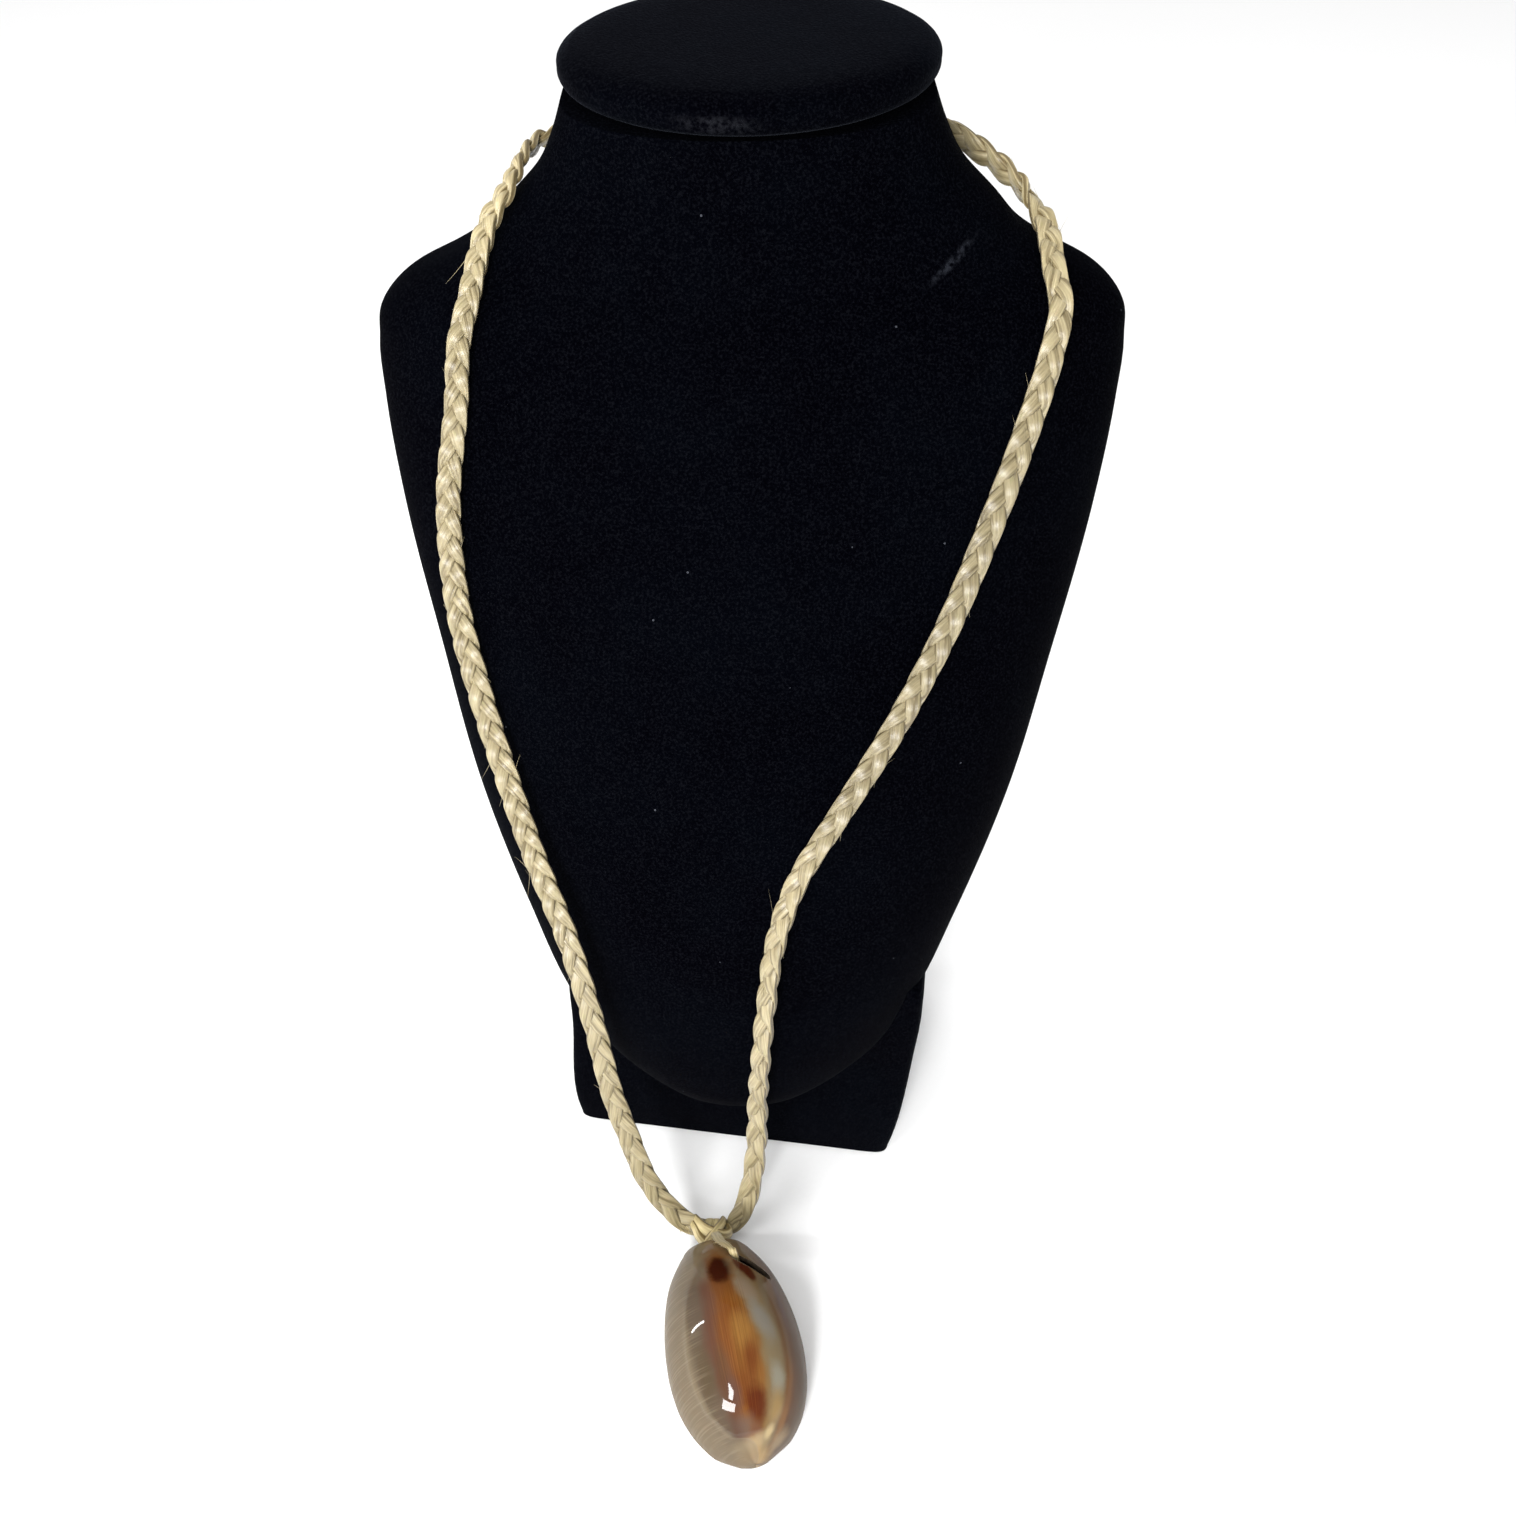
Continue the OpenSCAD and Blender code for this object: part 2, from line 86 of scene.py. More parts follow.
# %% Smooth curves through tables
def follow(table, column, share):
    """Cubic between rows, where a row's slope is the mean of its two sides, weighted to the shorter side."""
    rows = np.asarray(table, float)
    x, y = rows[:, 0], rows[:, column]
    step = np.diff(x)
    rise = np.diff(y)/step
    inner_slope = (rise[:-1]*step[1:] + rise[1:]*step[:-1])/(step[:-1] + step[1:])
    slope = np.concatenate([rise[:1], inner_slope, rise[-1:]])
    k = np.clip(np.searchsorted(x, share, side="right") - 1, 0, len(x) - 2)
    u = np.clip((share - x[k])/step[k], 0, 1)
    return ((1 + 2*u)*(1 - u)**2*y[k] + u*(1 - u)**2*step[k]*slope[k]
            + u*u*(3 - 2*u)*y[k + 1] + u*u*(u - 1)*step[k]*slope[k + 1])


def stepped(marks, counts):
    """Equal steps from each mark to the next, as many as the counts say, and the last mark itself."""
    spans = [np.linspace(a, b, n + 1)[:-1] for a, b, n in zip(marks, marks[1:], counts)]
    return np.concatenate([*spans, marks[-1:]])


def circle(count):
    """Angles once round in equal steps, without the first angle again at the end."""
    return np.linspace(0, 2*np.pi, count + 1)[:-1]


def unit(v):
    """Each vector divided by its own length."""
    return v/np.maximum(np.linalg.norm(v, axis=-1, keepdims=True), 1e-12)


def along_part(v, axis):
    """How much of each vector lies along its axis."""
    return (v*axis).sum(-1, keepdims=True)


def powered(v, p):
    """The sign of v times its size to the power p, which squares off a circle's outline."""
    return np.sign(v)*np.abs(v)**p


def turned_flat(p, angle):
    """Points turned about the upright axis: x cos - y sin, and x sin + y cos."""
    c, s = math.cos(angle), math.sin(angle)
    return np.stack([p[..., 0]*c - p[..., 1]*s, p[..., 0]*s + p[..., 1]*c, p[..., 2]], -1)


# %% [markdown]
# A grid of points becomes a skin: each square of four neighbouring points is one face.
# The grid closes on itself round the piece, and its two open ends are closed with a fan.

# %% Skin a grid of points
SHARP_TURN = math.radians(38)


def mesh_of(name, points, faces):
    """A mesh from points in millimetres and faces."""
    mesh = bpy.data.meshes.new(name)
    mesh.from_pydata((points*MM).tolist(), [], faces)
    return mesh


def skin(name, points, capped=True, uv=None, values=None):
    """Faces join point (row, column) to its next row and column; columns always close into a ring."""
    rows, cols = points.shape[:2]
    ids = np.arange(rows*cols).reshape(rows, cols)
    low, high = ids[:-1], ids[1:]
    faces = np.stack([low, np.roll(low, -1, 1), np.roll(high, -1, 1), high], -1).reshape(-1, 4).tolist()
    verts = points.reshape(-1, 3)
    if capped:
        verts = np.vstack([verts, points[0].mean(0), points[-1].mean(0)])
        foot, head = rows*cols, rows*cols + 1
        faces += np.stack([np.full(cols, foot), np.roll(ids[0], -1), ids[0]], -1).tolist()
        faces += np.stack([np.full(cols, head), ids[-1], np.roll(ids[-1], -1)], -1).tolist()
    mesh = mesh_of(name, verts, faces)
    if uv is not None:
        # the seam's last column takes the value past the end, so a pattern doesn't run back across it
        layer = mesh.uv_layers.new(name="run")
        i, j = np.divmod(np.arange(low.size), cols)
        corner = np.stack([uv[i, j], uv[i, j + 1], uv[i + 1, j + 1], uv[i + 1, j]], 1).reshape(-1, 2)
        full = np.zeros((len(layer.data), 2))
        full[:len(corner)] = corner
        layer.data.foreach_set("uv", full.ravel())
    for key, grid in (values or {}).items():
        flat = np.zeros(len(verts))
        flat[:rows*cols] = grid.ravel()
        mesh.attributes.new(key, "FLOAT", "POINT").data.foreach_set("value", flat)
    mesh.polygons.foreach_set("use_smooth", np.ones(len(mesh.polygons), bool))
    mesh.update()
    return placed(name, mesh)


def run_and_round(rows_at, cols):
    """UV grid: the first value is the length run so far, the second goes once from 0 to 1 round the ring."""
    return np.stack(np.meshgrid(rows_at, np.linspace(0, 1, cols + 1), indexing="ij"), -1)


def triangles(piece):
    """How many triangles the piece's faces make."""
    piece.data.calc_loop_triangles()
    return len(piece.data.loop_triangles)


def settle(piece, material, slot, *nodes):
    """Rides on the only body, stands for its solids, and takes its finish."""
    piece.data.materials.append(material)
    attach(piece, "root")
    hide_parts(*nodes)
    print("%-16s %6d triangles" % (piece.name, triangles(piece)))


def carve(piece, cutter):
    """The piece's mesh with the cutter's solid taken out, worked out once and kept."""
    cut = piece.modifiers.new("cut", "BOOLEAN")
    cut.operation = "DIFFERENCE"
    cut.solver = "EXACT"
    cut.object = cutter
    if cutter.data.materials:
        cut.material_mode = "TRANSFER"
    bpy.context.view_layer.update()
    done = bpy.data.meshes.new_from_object(piece.evaluated_get(bpy.context.evaluated_depsgraph_get()))
    piece.modifiers.clear()
    piece.data = done
    bpy.data.objects.remove(cutter, do_unlink=True)
    done.polygons.foreach_set("use_smooth", np.ones(len(done.polygons), bool))
    done.set_sharp_from_angle(angle=SHARP_TURN)


# %% [markdown]
# Shader nodes are made with small helpers, so that each finish reads as a short recipe. One adds a node
# and fills its inputs, and the others are the few kinds of node that every finish here is made from.

# %% Helpers for finishes
def add(tree, kind, inputs=None, **settings):
    """One node with its settings, and each input given a value or a link."""
    node = tree.nodes.new(kind)
    for key, value in settings.items():
        setattr(node, key, value)
    for key, value in (inputs or {}).items():
        if isinstance(value, bpy.types.NodeSocket):
            tree.links.new(value, node.inputs[key])
        else:
            node.inputs[key].default_value = value
    return node


def calc(tree, work, *values):
    """One sum on numbers."""
    return add(tree, "ShaderNodeMath", dict(enumerate(values)), operation=work).outputs[0]


def times(tree, *values):
    """Product of two or more numbers."""
    return reduce(lambda a, b: calc(tree, "MULTIPLY", a, b), values)


def plus(tree, *values):
    """Sum of two or more numbers."""
    return reduce(lambda a, b: calc(tree, "ADD", a, b), values)


def mixed(tree, factor, a, b, how="MIX"):
    """Colour a turning into colour b with the factor."""
    a, b = [c if isinstance(c, bpy.types.NodeSocket) else (*c, 1) for c in (a, b)]
    return add(tree, "ShaderNodeMix", {0: factor, 6: a, 7: b}, data_type="RGBA", blend_type=how).outputs[2]


def between(tree, value, low, high, out_low=0.0, out_high=1.0, course="SMOOTHSTEP"):
    """A value's place between two limits, eased at both ends or straight, stretched to two new limits."""
    limits = {"Value": value, "From Min": low, "From Max": high, "To Min": out_low, "To Max": out_high}
    return add(tree, "ShaderNodeMapRange", limits, interpolation_type=course).outputs[0]


def noise(tree, where, scale, detail=3.0, rough=0.55):
    """Soft cloudy noise at a scale."""
    return add(tree, "ShaderNodeTexNoise", {"Vector": where, "Scale": scale, "Detail": detail,
                                            "Roughness": rough}).outputs["Fac"]


def dots(tree, where, scale, size, rarity):
    """1 in small dots: the places within a size of a cell's point, in the few cells whose red is high."""
    cells = add(tree, "ShaderNodeTexVoronoi", {"Vector": where, "Scale": scale}, feature="F1")
    red = add(tree, "ShaderNodeSeparateColor", {0: cells.outputs["Color"]}).outputs[0]
    near = calc(tree, "LESS_THAN", cells.outputs["Distance"], size)
    return times(tree, near, calc(tree, "GREATER_THAN", red, rarity))


def stretched(tree, along, along_scale, around, around_scale):
    """Coordinates for a pattern drawn out along a piece: each measure times its own scale."""
    return add(tree, "ShaderNodeCombineXYZ", {0: times(tree, along, along_scale),
                                              1: times(tree, around, around_scale)}).outputs[0]


def own_place(tree):
    """Each point's place in the piece's own frame, in metres."""
    return add(tree, "ShaderNodeTexCoord").outputs["Object"]


def carried(tree, name):
    """A value that the mesh carries at each of its points."""
    return add(tree, "ShaderNodeAttribute", attribute_name=name).outputs["Fac"]


def emboss(tree, shader, height, strength, depth):
    """Relief too fine for the mesh, from a height that turns the shader's normal."""
    bump = add(tree, "ShaderNodeBump", {"Strength": strength, "Distance": depth, "Height": height})
    tree.links.new(bump.outputs[0], shader.inputs["Normal"])


def finish_of(name, **sockets):
    """A new material, its tree and its one shader, with the sockets that are the same all over."""
    material = bpy.data.materials.new(name)
    material.use_nodes = True
    shader = material.node_tree.nodes["Principled BSDF"]
    for key, value in sockets.items():
        shader.inputs[key.replace("_", " ")].default_value = value
    return material, material.node_tree, shader


def group_of(name, inputs, outputs):
    """A group of nodes, what comes into it, and what goes out; an input has a name, a kind and a start."""
    tree = bpy.data.node_groups.new(name, "ShaderNodeTree")
    for label, kind, start in inputs:
        socket = tree.interface.new_socket(label, in_out="INPUT", socket_type="NodeSocket" + kind)
        if start is not None:
            socket.default_value = start
    for label, kind in outputs:
        tree.interface.new_socket(label, in_out="OUTPUT", socket_type="NodeSocket" + kind)
    return tree, tree.nodes.new("NodeGroupInput").outputs, tree.nodes.new("NodeGroupOutput").inputs


def srgb(r, g, b):
    """A colour read off as 0 to 255 turned into the linear values that a shader takes."""
    c = np.array([r, g, b])/255
    return tuple(float(v) for v in np.where(c <= 0.04045, c/12.92, ((c + 0.055)/1.055)**2.4))


# %% [markdown]
# Velvet is a pile of short upright fibres. It swallows light that meets it straight on and glows
# where it is seen along its edge. The shader's sheen does this, over a nearly black base.
# The pile also leans in patches, holds white lint, and is rubbed where the bust is gripped.

# %% Velvet as a group of nodes
# scales are per metre
PATCH_SCALE, PILE_SCALE, LINT_SCALE, RUB_SCALE = 22, 1500, 330, 700
velvet_group, pile_in, pile_out = group_of(
    "velvet pile", [("Position", "Vector", None), ("Patches", "Float", 1.0), ("Lint", "Float", 1.0)],
    [("Colour", "Color"), ("Height", "Float")])
spot = pile_in["Position"]
patch = between(velvet_group, noise(velvet_group, spot, PATCH_SCALE, 4, 0.6), 0.35, 0.72)
patch = times(velvet_group, patch, pile_in["Patches"])
pile = noise(velvet_group, spot, PILE_SCALE, 2, 0.6)
dark = mixed(velvet_group, patch, srgb(0, 0, 2), srgb(1, 2, 5))
grainy = mixed(velvet_group, between(velvet_group, pile, 0.42, 0.75), dark, srgb(12, 13, 16), "ADD")
grainy = mixed(velvet_group, 0.6, dark, grainy)
lint = times(velvet_group, dots(velvet_group, spot, LINT_SCALE, 0.10, 0.985), pile_in["Lint"])
velvet_group.links.new(mixed(velvet_group, lint, grainy, srgb(58, 60, 66)), pile_out["Colour"])
velvet_group.links.new(plus(velvet_group, pile, times(velvet_group, patch, 0.5)), pile_out["Height"])
print("velvet group has", len(velvet_group.nodes), "nodes")


# %% Three velvets from the group
def velvet(name, patches, lint_share, sheen, rubbed=None):
    """Black velvet; rubbed is a paler patch's middle and half sizes in metres, its turn and its colour."""
    material, tree, shader = finish_of(name, Roughness=0.95, Sheen_Weight=sheen, Sheen_Roughness=0.35,
                                       Sheen_Tint=(0.55, 0.62, 0.78, 1), Specular_IOR_Level=0.014)
    where = own_place(tree)
    pile_node = add(tree, "ShaderNodeGroup", {"Position": where, "Patches": patches, "Lint": lint_share},
                    node_tree=velvet_group)
    colour = pile_node.outputs["Colour"]
    if rubbed:
        middle, reach, turn, worn_tone = rubbed
        local = add(tree, "ShaderNodeVectorMath", {0: where, 1: middle}, operation="SUBTRACT").outputs[0]
        local = add(tree, "ShaderNodeVectorRotate", {"Vector": local, "Angle": turn},
                    rotation_type="Y_AXIS").outputs[0]
        local = add(tree, "ShaderNodeVectorMath", {0: local, 1: reach}, operation="DIVIDE").outputs[0]
        away = add(tree, "ShaderNodeVectorMath", {0: local}, operation="LENGTH").outputs["Value"]
        ragged = between(tree, noise(tree, where, RUB_SCALE, 4), 0.36, 0.66)
        colour = mixed(tree, times(tree, between(tree, away, 1.0, 0.2), ragged), colour, worn_tone)
    tree.links.new(colour, shader.inputs["Base Color"])
    emboss(tree, shader, pile_node.outputs["Height"], 0.5, 0.0004)
    return material


SCRATCH = ((0.0502, 0.0234, 0.2965), (0.0105, 0.02, 0.0016), math.radians(37), srgb(31, 33, 39))
# a paler patch on the cap's front, under its lip
CAP_LIP_PATCH = ((-0.008, 0.0215, 0.3290), (0.014, 0.02, 0.0030), 0.0, srgb(22, 23, 27))
form_velvet = velvet("form velvet", 0.7, 1.0, 0.003, SCRATCH)
cap_velvet = velvet("cap velvet", 1.0, 0.6, 0.035, CAP_LIP_PATCH)
block_velvet = velvet("block velvet", 0.9, 0.5, 0.015)
print("velvets made")

# %% [markdown]
# The form is a chest and neck in one, 199 mm wide. Each height has a half width, a middle line and a
# depth to the front and back. Its outline at one height is an ellipse, squared off a little.
# The neck's top leans to the right by 2 degrees and slopes forward by 8.

# %% Form of the bust
# width, height and depth of the form, and the height of its lowest point
BUST_W, BUST_H, BUST_D, RIM_Z = 199.0, 287.0, 80.0, 41.0
# the neck's middle at the top, back and to the left, and its lean and slope as rises per length
NECK_Y, NECK_SHIFT, LEAN, SLOPE = 45.0, 1.4, math.tan(math.radians(2)), math.tan(math.radians(8))
LEAN_FROM, SLOPE_FROM = 0.554, 0.889
FRONT_POWER, BACK_POWER = 2.1, 3.0
FORM_COLS = 192
# the gap between one piece and what it stands on
FIT = 0.3
# height share, half width share, middle line, front and back depth shares
FORM = [
    (0.00, 0.20, -0.50, 0.11, 0.10), (0.01, 0.26, -0.45, 0.20, 0.16), (0.03, 0.34, -0.39, 0.30, 0.23),
    (0.07, 0.468, -0.33, 0.39, 0.31), (0.14, 0.58, -0.26, 0.48, 0.38), (0.24, 0.685, -0.15, 0.56, 0.41),
    (0.38, 0.81, 0.00, 0.59, 0.42), (0.52, 0.89, 0.14, 0.55, 0.40), (0.66, 0.965, 0.30, 0.51, 0.36),
    (0.75, 0.995, 0.41, 0.475, 0.34), (0.80, 1.00, 0.475, 0.45, 0.33), (0.83, 0.98, 0.51, 0.43, 0.32),
    (0.85, 0.91, 0.53, 0.40, 0.32), (0.865, 0.815, 0.54, 0.37, 0.32), (0.885, 0.715, 0.54, 0.35, 0.32),
    (0.91, 0.64, 0.55, 0.33, 0.32), (0.94, 0.55, 0.56, 0.30, 0.31), (0.97, 0.50, 0.56, 0.29, 0.335),
    (1.00, 0.465, 0.56, 0.28, 0.39)]


def leaned(p):
    """Height grows by x times the lean and by y times the slope, each from its own share of the form up."""
    s = (p[..., 2] - RIM_Z)/BUST_H
    top = np.clip((s - SLOPE_FROM)/(1 - SLOPE_FROM), 0, 1)
    upper = np.clip((s - LEAN_FROM)/(1 - LEAN_FROM), 0, 1)
    lift = p[..., 0]*LEAN*upper + (p[..., 1] - NECK_Y)*SLOPE*top
    return np.stack([p[..., 0] - NECK_SHIFT*top, p[..., 1], p[..., 2] + lift], -1)


def form_outline(s, a):
    """Outline at height share s and angle a in degrees: cosine and sine to a power, times width and depth."""
    s, a = np.broadcast_arrays(np.asarray(s, float), np.radians(a))
    front = np.sin(a) < 0
    p = 2/np.where(front, FRONT_POWER, BACK_POWER)
    d = np.where(front, follow(FORM, 3, s), follow(FORM, 4, s))*BUST_D
    return np.stack([powered(np.cos(a), p)*follow(FORM, 1, s)*BUST_W/2,
                     powered(np.sin(a), p)*d + follow(FORM, 2, s)*BUST_D, RIM_Z + s*BUST_H], -1)


form_shares = stepped([0, 0.03, 0.14, 0.80, 1], [7, 13, 59, 59])
form_angles = np.arange(FORM_COLS)*360/FORM_COLS
form_grid = leaned(form_outline(form_shares[:, None], form_angles[None, :]))
form_cover = skin("form_cover", form_grid)
print("form grid", form_grid.shape)


# %% [markdown]
# The block under the form has rounded corners and turns 7 degrees. Where it stands, the form is cut
# away by a plain box, a little larger than the block, so that the two rest on each other.

# %% Block and the room for it in the form
STAND_FRONT, STAND_W, STAND_D, STAND_H, STAND_TURN = 35.0, 115.0, 78.0, 90.0, math.radians(-7)
# a low power squares the outline off, and the points are drawn together at its corners
CORNER_POWER, CORNER_CROWD = 0.08, 0.24
# height share, width share, depth share and shift to the side
BLOCK = [(0, 0.945, 0.985, -0.026), (0.006, 0.956, 0.996, -0.026), (0.02, 0.96, 1.0, -0.026),
         (0.6, 0.998, 1.0, -0.005), (0.88, 1.0, 1.0, 0), (0.96, 0.99, 0.985, 0), (0.99, 0.97, 0.96, 0),
         (1, 0.94, 0.93, 0)]


def block_frame(p):
    """From the block's own place, its front face at y = 0, to the bust's frame."""
    return turned_flat(p, STAND_TURN) - [0, STAND_FRONT, 0]


tall = stepped([0, 0.03, 0.88, 1], [6, 13, 11])[:, None]
turn = circle(144)
turn = (turn + CORNER_CROWD*np.sin(4*turn))[None]
wide_share, deep_share, aside_share = [follow(BLOCK, column, tall) for column in (1, 2, 3)]
block_x = powered(np.cos(turn), CORNER_POWER)*STAND_W/2*wide_share + STAND_W*aside_share
block_y = powered(np.sin(turn), CORNER_POWER)*STAND_D/2*deep_share + STAND_D/2
block_z = tall*STAND_H + 0*turn
block_cover = skin("block_cover", block_frame(np.stack([block_x, block_y, block_z], -1)))
room = np.array([(x, y, z) for x in (-1, 1) for y in (0, 1) for z in (0, 1)], float)
room = room*[STAND_W/2 + FIT, STAND_D + 2*FIT, STAND_H + FIT + 1] + [0, -FIT, -1]
ROOM_FACES = [[0, 1, 3, 2], [4, 6, 7, 5], [0, 4, 5, 1], [2, 3, 7, 6], [0, 2, 6, 4], [1, 5, 7, 3]]
carve(form_cover, placed("room", mesh_of("room", block_frame(room), ROOM_FACES)))
settle(form_cover, form_velvet, "form_velvet", "bust_form")
settle(block_cover, block_velvet, "block_velvet", "stand_base")

# %% [markdown]
# The cap is a disc of board under the same velvet. Its edge is soft where the cloth is pulled over it.
# It stands a hair above the neck, so a fine dark line runs round under its lip.

# %% Cap on the neck
CAP_W, CAP_D, CAP_T, CAP_BACK = 95.0, 67.0, 10.0, 8.5
# height share and width share
CAP = [(0, 0.83), (0.05, 0.90), (0.14, 0.955), (0.32, 0.995), (0.5, 1.0), (0.68, 0.995), (0.84, 0.955),
       (0.94, 0.89), (0.985, 0.80), (1, 0.70)]
thick = stepped([0, 0.14, 0.84, 1], [7, 15, 13])[:, None]
around = circle(160)[None]
cap_size = follow(CAP, 1, thick)
cap_rows = np.stack([np.cos(around)*CAP_W/2*cap_size, np.sin(around)*CAP_D/2*cap_size,
                     thick*CAP_T + 0*around], -1)
# four more rings lead over the flat top to its middle: share of the last ring's size, and dip in mm
for shrink, dip in ((6/7, 0.010), (4.5/7, 0.025), (3/7, 0.040), (1.5/7, 0.055)):
    ring = cap_rows[-1]*[shrink, shrink, 1] - [0, 0, dip]
    cap_rows = np.concatenate([cap_rows, ring[None]])
cap_rows[..., 1] += CAP_BACK
cap_rows[..., 2] += RIM_Z + BUST_H + FIT + cap_rows[..., 0]*LEAN + cap_rows[..., 1]*SLOPE
cap_rows += [-NECK_SHIFT, NECK_Y, 0]
cap_cover = skin("cap_cover", cap_rows)
settle(cap_cover, cap_velvet, "cap_velvet", "neck_cap")

# %% [markdown]
# The cord's route is written as it lies. Round the form, a row gives a height share, an angle, how far
# the plait stands off in plait widths, and how far its face is turned. In front it hangs free, and
# those rows are measured from the lashing. One smooth curve runs through all the rows.

# %% Route of the cord
# the plait's width and thickness, and the height of its two free ends above the lashing
PLAIT_W, PLAIT_T, HANG = 6.8, 5.0, 62.0
# the lashing's tip back, its thickness, and its room round the plait; the floor's gap under the shell
LASH_TIP, LASH_T, LASH_ROOM, TABLE = math.radians(55), 1.3, 0.5, 0.3
LASH_POWER = 0.75
# the lashing's place to the left and in front of the block
KNOT_LEFT, KNOT_AHEAD = 8.0, 38.2
ROUTE_STEP = 0.7
# height share, angle in degrees, distance off in plait widths, turn of the face in degrees
LAID = [
    (0.20, -126, 1.25, 0), (0.30, -127, 1.10, 0), (0.38, -132, 0.80, 0), (0.45, -137, 0.50, 0),
    (0.52, -142, 0.22, 0), (0.60, -144, 0.10, 0), (0.70, -141, 0.10, 0), (0.78, -136.5, 0.12, 0),
    (0.83, -136.5, 0.20, 0), (0.86, -143.5, 0.38, 0), (0.885, -156, 0.40, 0), (0.91, -165, 0.38, 0),
    (0.93, -173, 0.30, 0), (0.94, 172, 0.27, 0), (0.94, 158, 0.40, 0), (0.94, 140, 0.47, 20),
    (0.935, 110, 0.35, 60), (0.935, 70, 0.38, 115), (0.935, 40, 0.76, 160), (0.92, 25, 0.76, 180),
    (0.905, 16, 0.68, 180), (0.89, 0, 0.50, 180), (0.87, -22, 0.41, 180), (0.85, -34, 0.32, 180),
    (0.82, -42, 0.18, 180), (0.76, -46.5, 0.10, 180), (0.68, -52, 0.10, 180), (0.60, -57.5, 0.10, 180),
    (0.52, -64.5, 0.10, 180), (0.44, -73.5, 0.15, 165), (0.38, -80, 0.24, 130), (0.31, -83.5, 0.30, 115),
    (0.24, -84.5, 0.38, 115), (0.16, -85, 0.60, 115)]
# place from the lashing in shares of HANG, tip of the face from front to top, turn of the face
LEFT_DROP = [
    (-0.012, 0, 0, 55, 0), (-0.05, 0, 0, 55, 0), (-0.09, 0, 0, 55, 0), (-0.16, 0.016, 0.032, 48, 0),
    (-0.26, 0.04, 0.16, 38, 0), (-0.35, 0.055, 0.37, 20, 0), (-0.43, 0.09, 0.685, 8, 0),
    (-0.50, 0.13, 0.99, 2, 0)]
RIGHT_DROP = [
    (0.22, 0.12, 1.01, 2, 115), (0.22, 0.097, 0.69, 6, 120), (0.20, 0.065, 0.37, 16, 135),
    (0.17, 0.04, 0.18, 30, 155), (0.126, 0.016, 0.056, 44, 172), (0.085, 0, 0, 55, 180),
    (0.05, 0, 0, 55, 180), (0.012, 0, 0, 55, 180)]


def lash_point(a, grow):
    """Squared ellipse round the plait, tipped 55 degrees back, grown by a thickness."""
    wide = np.array([0, -math.sin(LASH_TIP), -math.cos(LASH_TIP)])
    deep = np.array([0, -math.cos(LASH_TIP), math.sin(LASH_TIP)])
    across = powered(np.cos(a), LASH_POWER)*(PLAIT_W/2 + LASH_ROOM + grow)
    up = powered(np.sin(a), LASH_POWER)*(PLAIT_T/2 + LASH_ROOM + grow)
    return across[..., None]*wide + up[..., None]*deep


lash_low = -lash_point(np.radians(np.arange(0, 360, 20)), LASH_T)[:, 2].min()
KNOT = np.array([-KNOT_LEFT, -STAND_FRONT - KNOT_AHEAD, TABLE + lash_low])


def laid_rows(table):
    """Point pushed level out of the form's outline, and the way square to the form's surface there."""
    t = np.array(table, float)
    s, a = t[:, 0], t[:, 1]
    rad = np.radians(a)
    front = np.sin(rad) < 0
    p = 2 - 2/np.where(front, FRONT_POWER, BACK_POWER)
    d = np.where(front, follow(FORM, 3, s), follow(FORM, 4, s))*BUST_D
    w = follow(FORM, 1, s)*BUST_W/2
    out = unit(np.stack([powered(np.cos(rad), p)/w, powered(np.sin(rad), p)/d, np.zeros(len(s))], -1))
    off = (PLAIT_T/2 + FIT + t[:, 2]*PLAIT_W)[:, None]
    round_form = leaned(form_outline(s, a + 3)) - leaned(form_outline(s, a - 3))
    up_form = leaned(form_outline(np.minimum(1, s + 0.01), a)) - leaned(form_outline(s - 0.01, a))
    return np.hstack([leaned(form_outline(s, a) + out*off), unit(np.cross(round_form, up_form)), t[:, 3:]])


def drop_rows(table):
    """Point from the lashing in shares of the hanging height, its face tipped from front to top."""
    t = np.array(table, float)
    tip = np.radians(t[:, 3])
    face = np.stack([np.zeros(len(t)), -np.cos(tip), np.sin(tip)], -1)
    return np.hstack([KNOT + t[:, :3]*HANG, face, t[:, 4:]])


def curve_through(rows, steps):
    """Cubic through rows whose slopes follow both neighbours, each span in equal steps."""
    gap = np.linalg.norm(np.diff(rows[:, :3], axis=0), axis=1)[:, None]
    rise = np.diff(rows, axis=0)/gap
    inner_slope = (rise[:-1]*gap[1:] + rise[1:]*gap[:-1])/(gap[:-1] + gap[1:])
    slope = np.vstack([rise[:1], inner_slope, rise[-1:]])
    u = (np.arange(steps)/steps)[None, :, None]
    a, b, g = rows[:-1, None], rows[1:, None], gap[:, None]
    curve = ((1 + 2*u)*(1 - u)**2*a + u*(1 - u)**2*g*slope[:-1, None]
             + u*u*(3 - 2*u)*b + u*u*(u - 1)*g*slope[1:, None])
    return np.vstack([curve.reshape(-1, rows.shape[1]), rows[-1:]])


def evenly(curve, spacing):
    """The curve's rows at equal lengths along it, and those lengths."""
    run = np.concatenate([[0], np.cumsum(np.linalg.norm(np.diff(curve[:, :3], axis=0), axis=1))])
    at = np.linspace(0, run[-1], int(round(run[-1]/spacing)) + 1)
    return np.stack([np.interp(at, run, curve[:, c]) for c in range(curve.shape[1])], -1), at


route = np.vstack([drop_rows(LEFT_DROP), laid_rows(LAID), drop_rows(RIGHT_DROP)])
cord_rows, cord_run = evenly(curve_through(route, 40), ROUTE_STEP)
CORD_LEN = cord_run[-1]
print("cord is %.0f mm round the loop" % CORD_LEN)

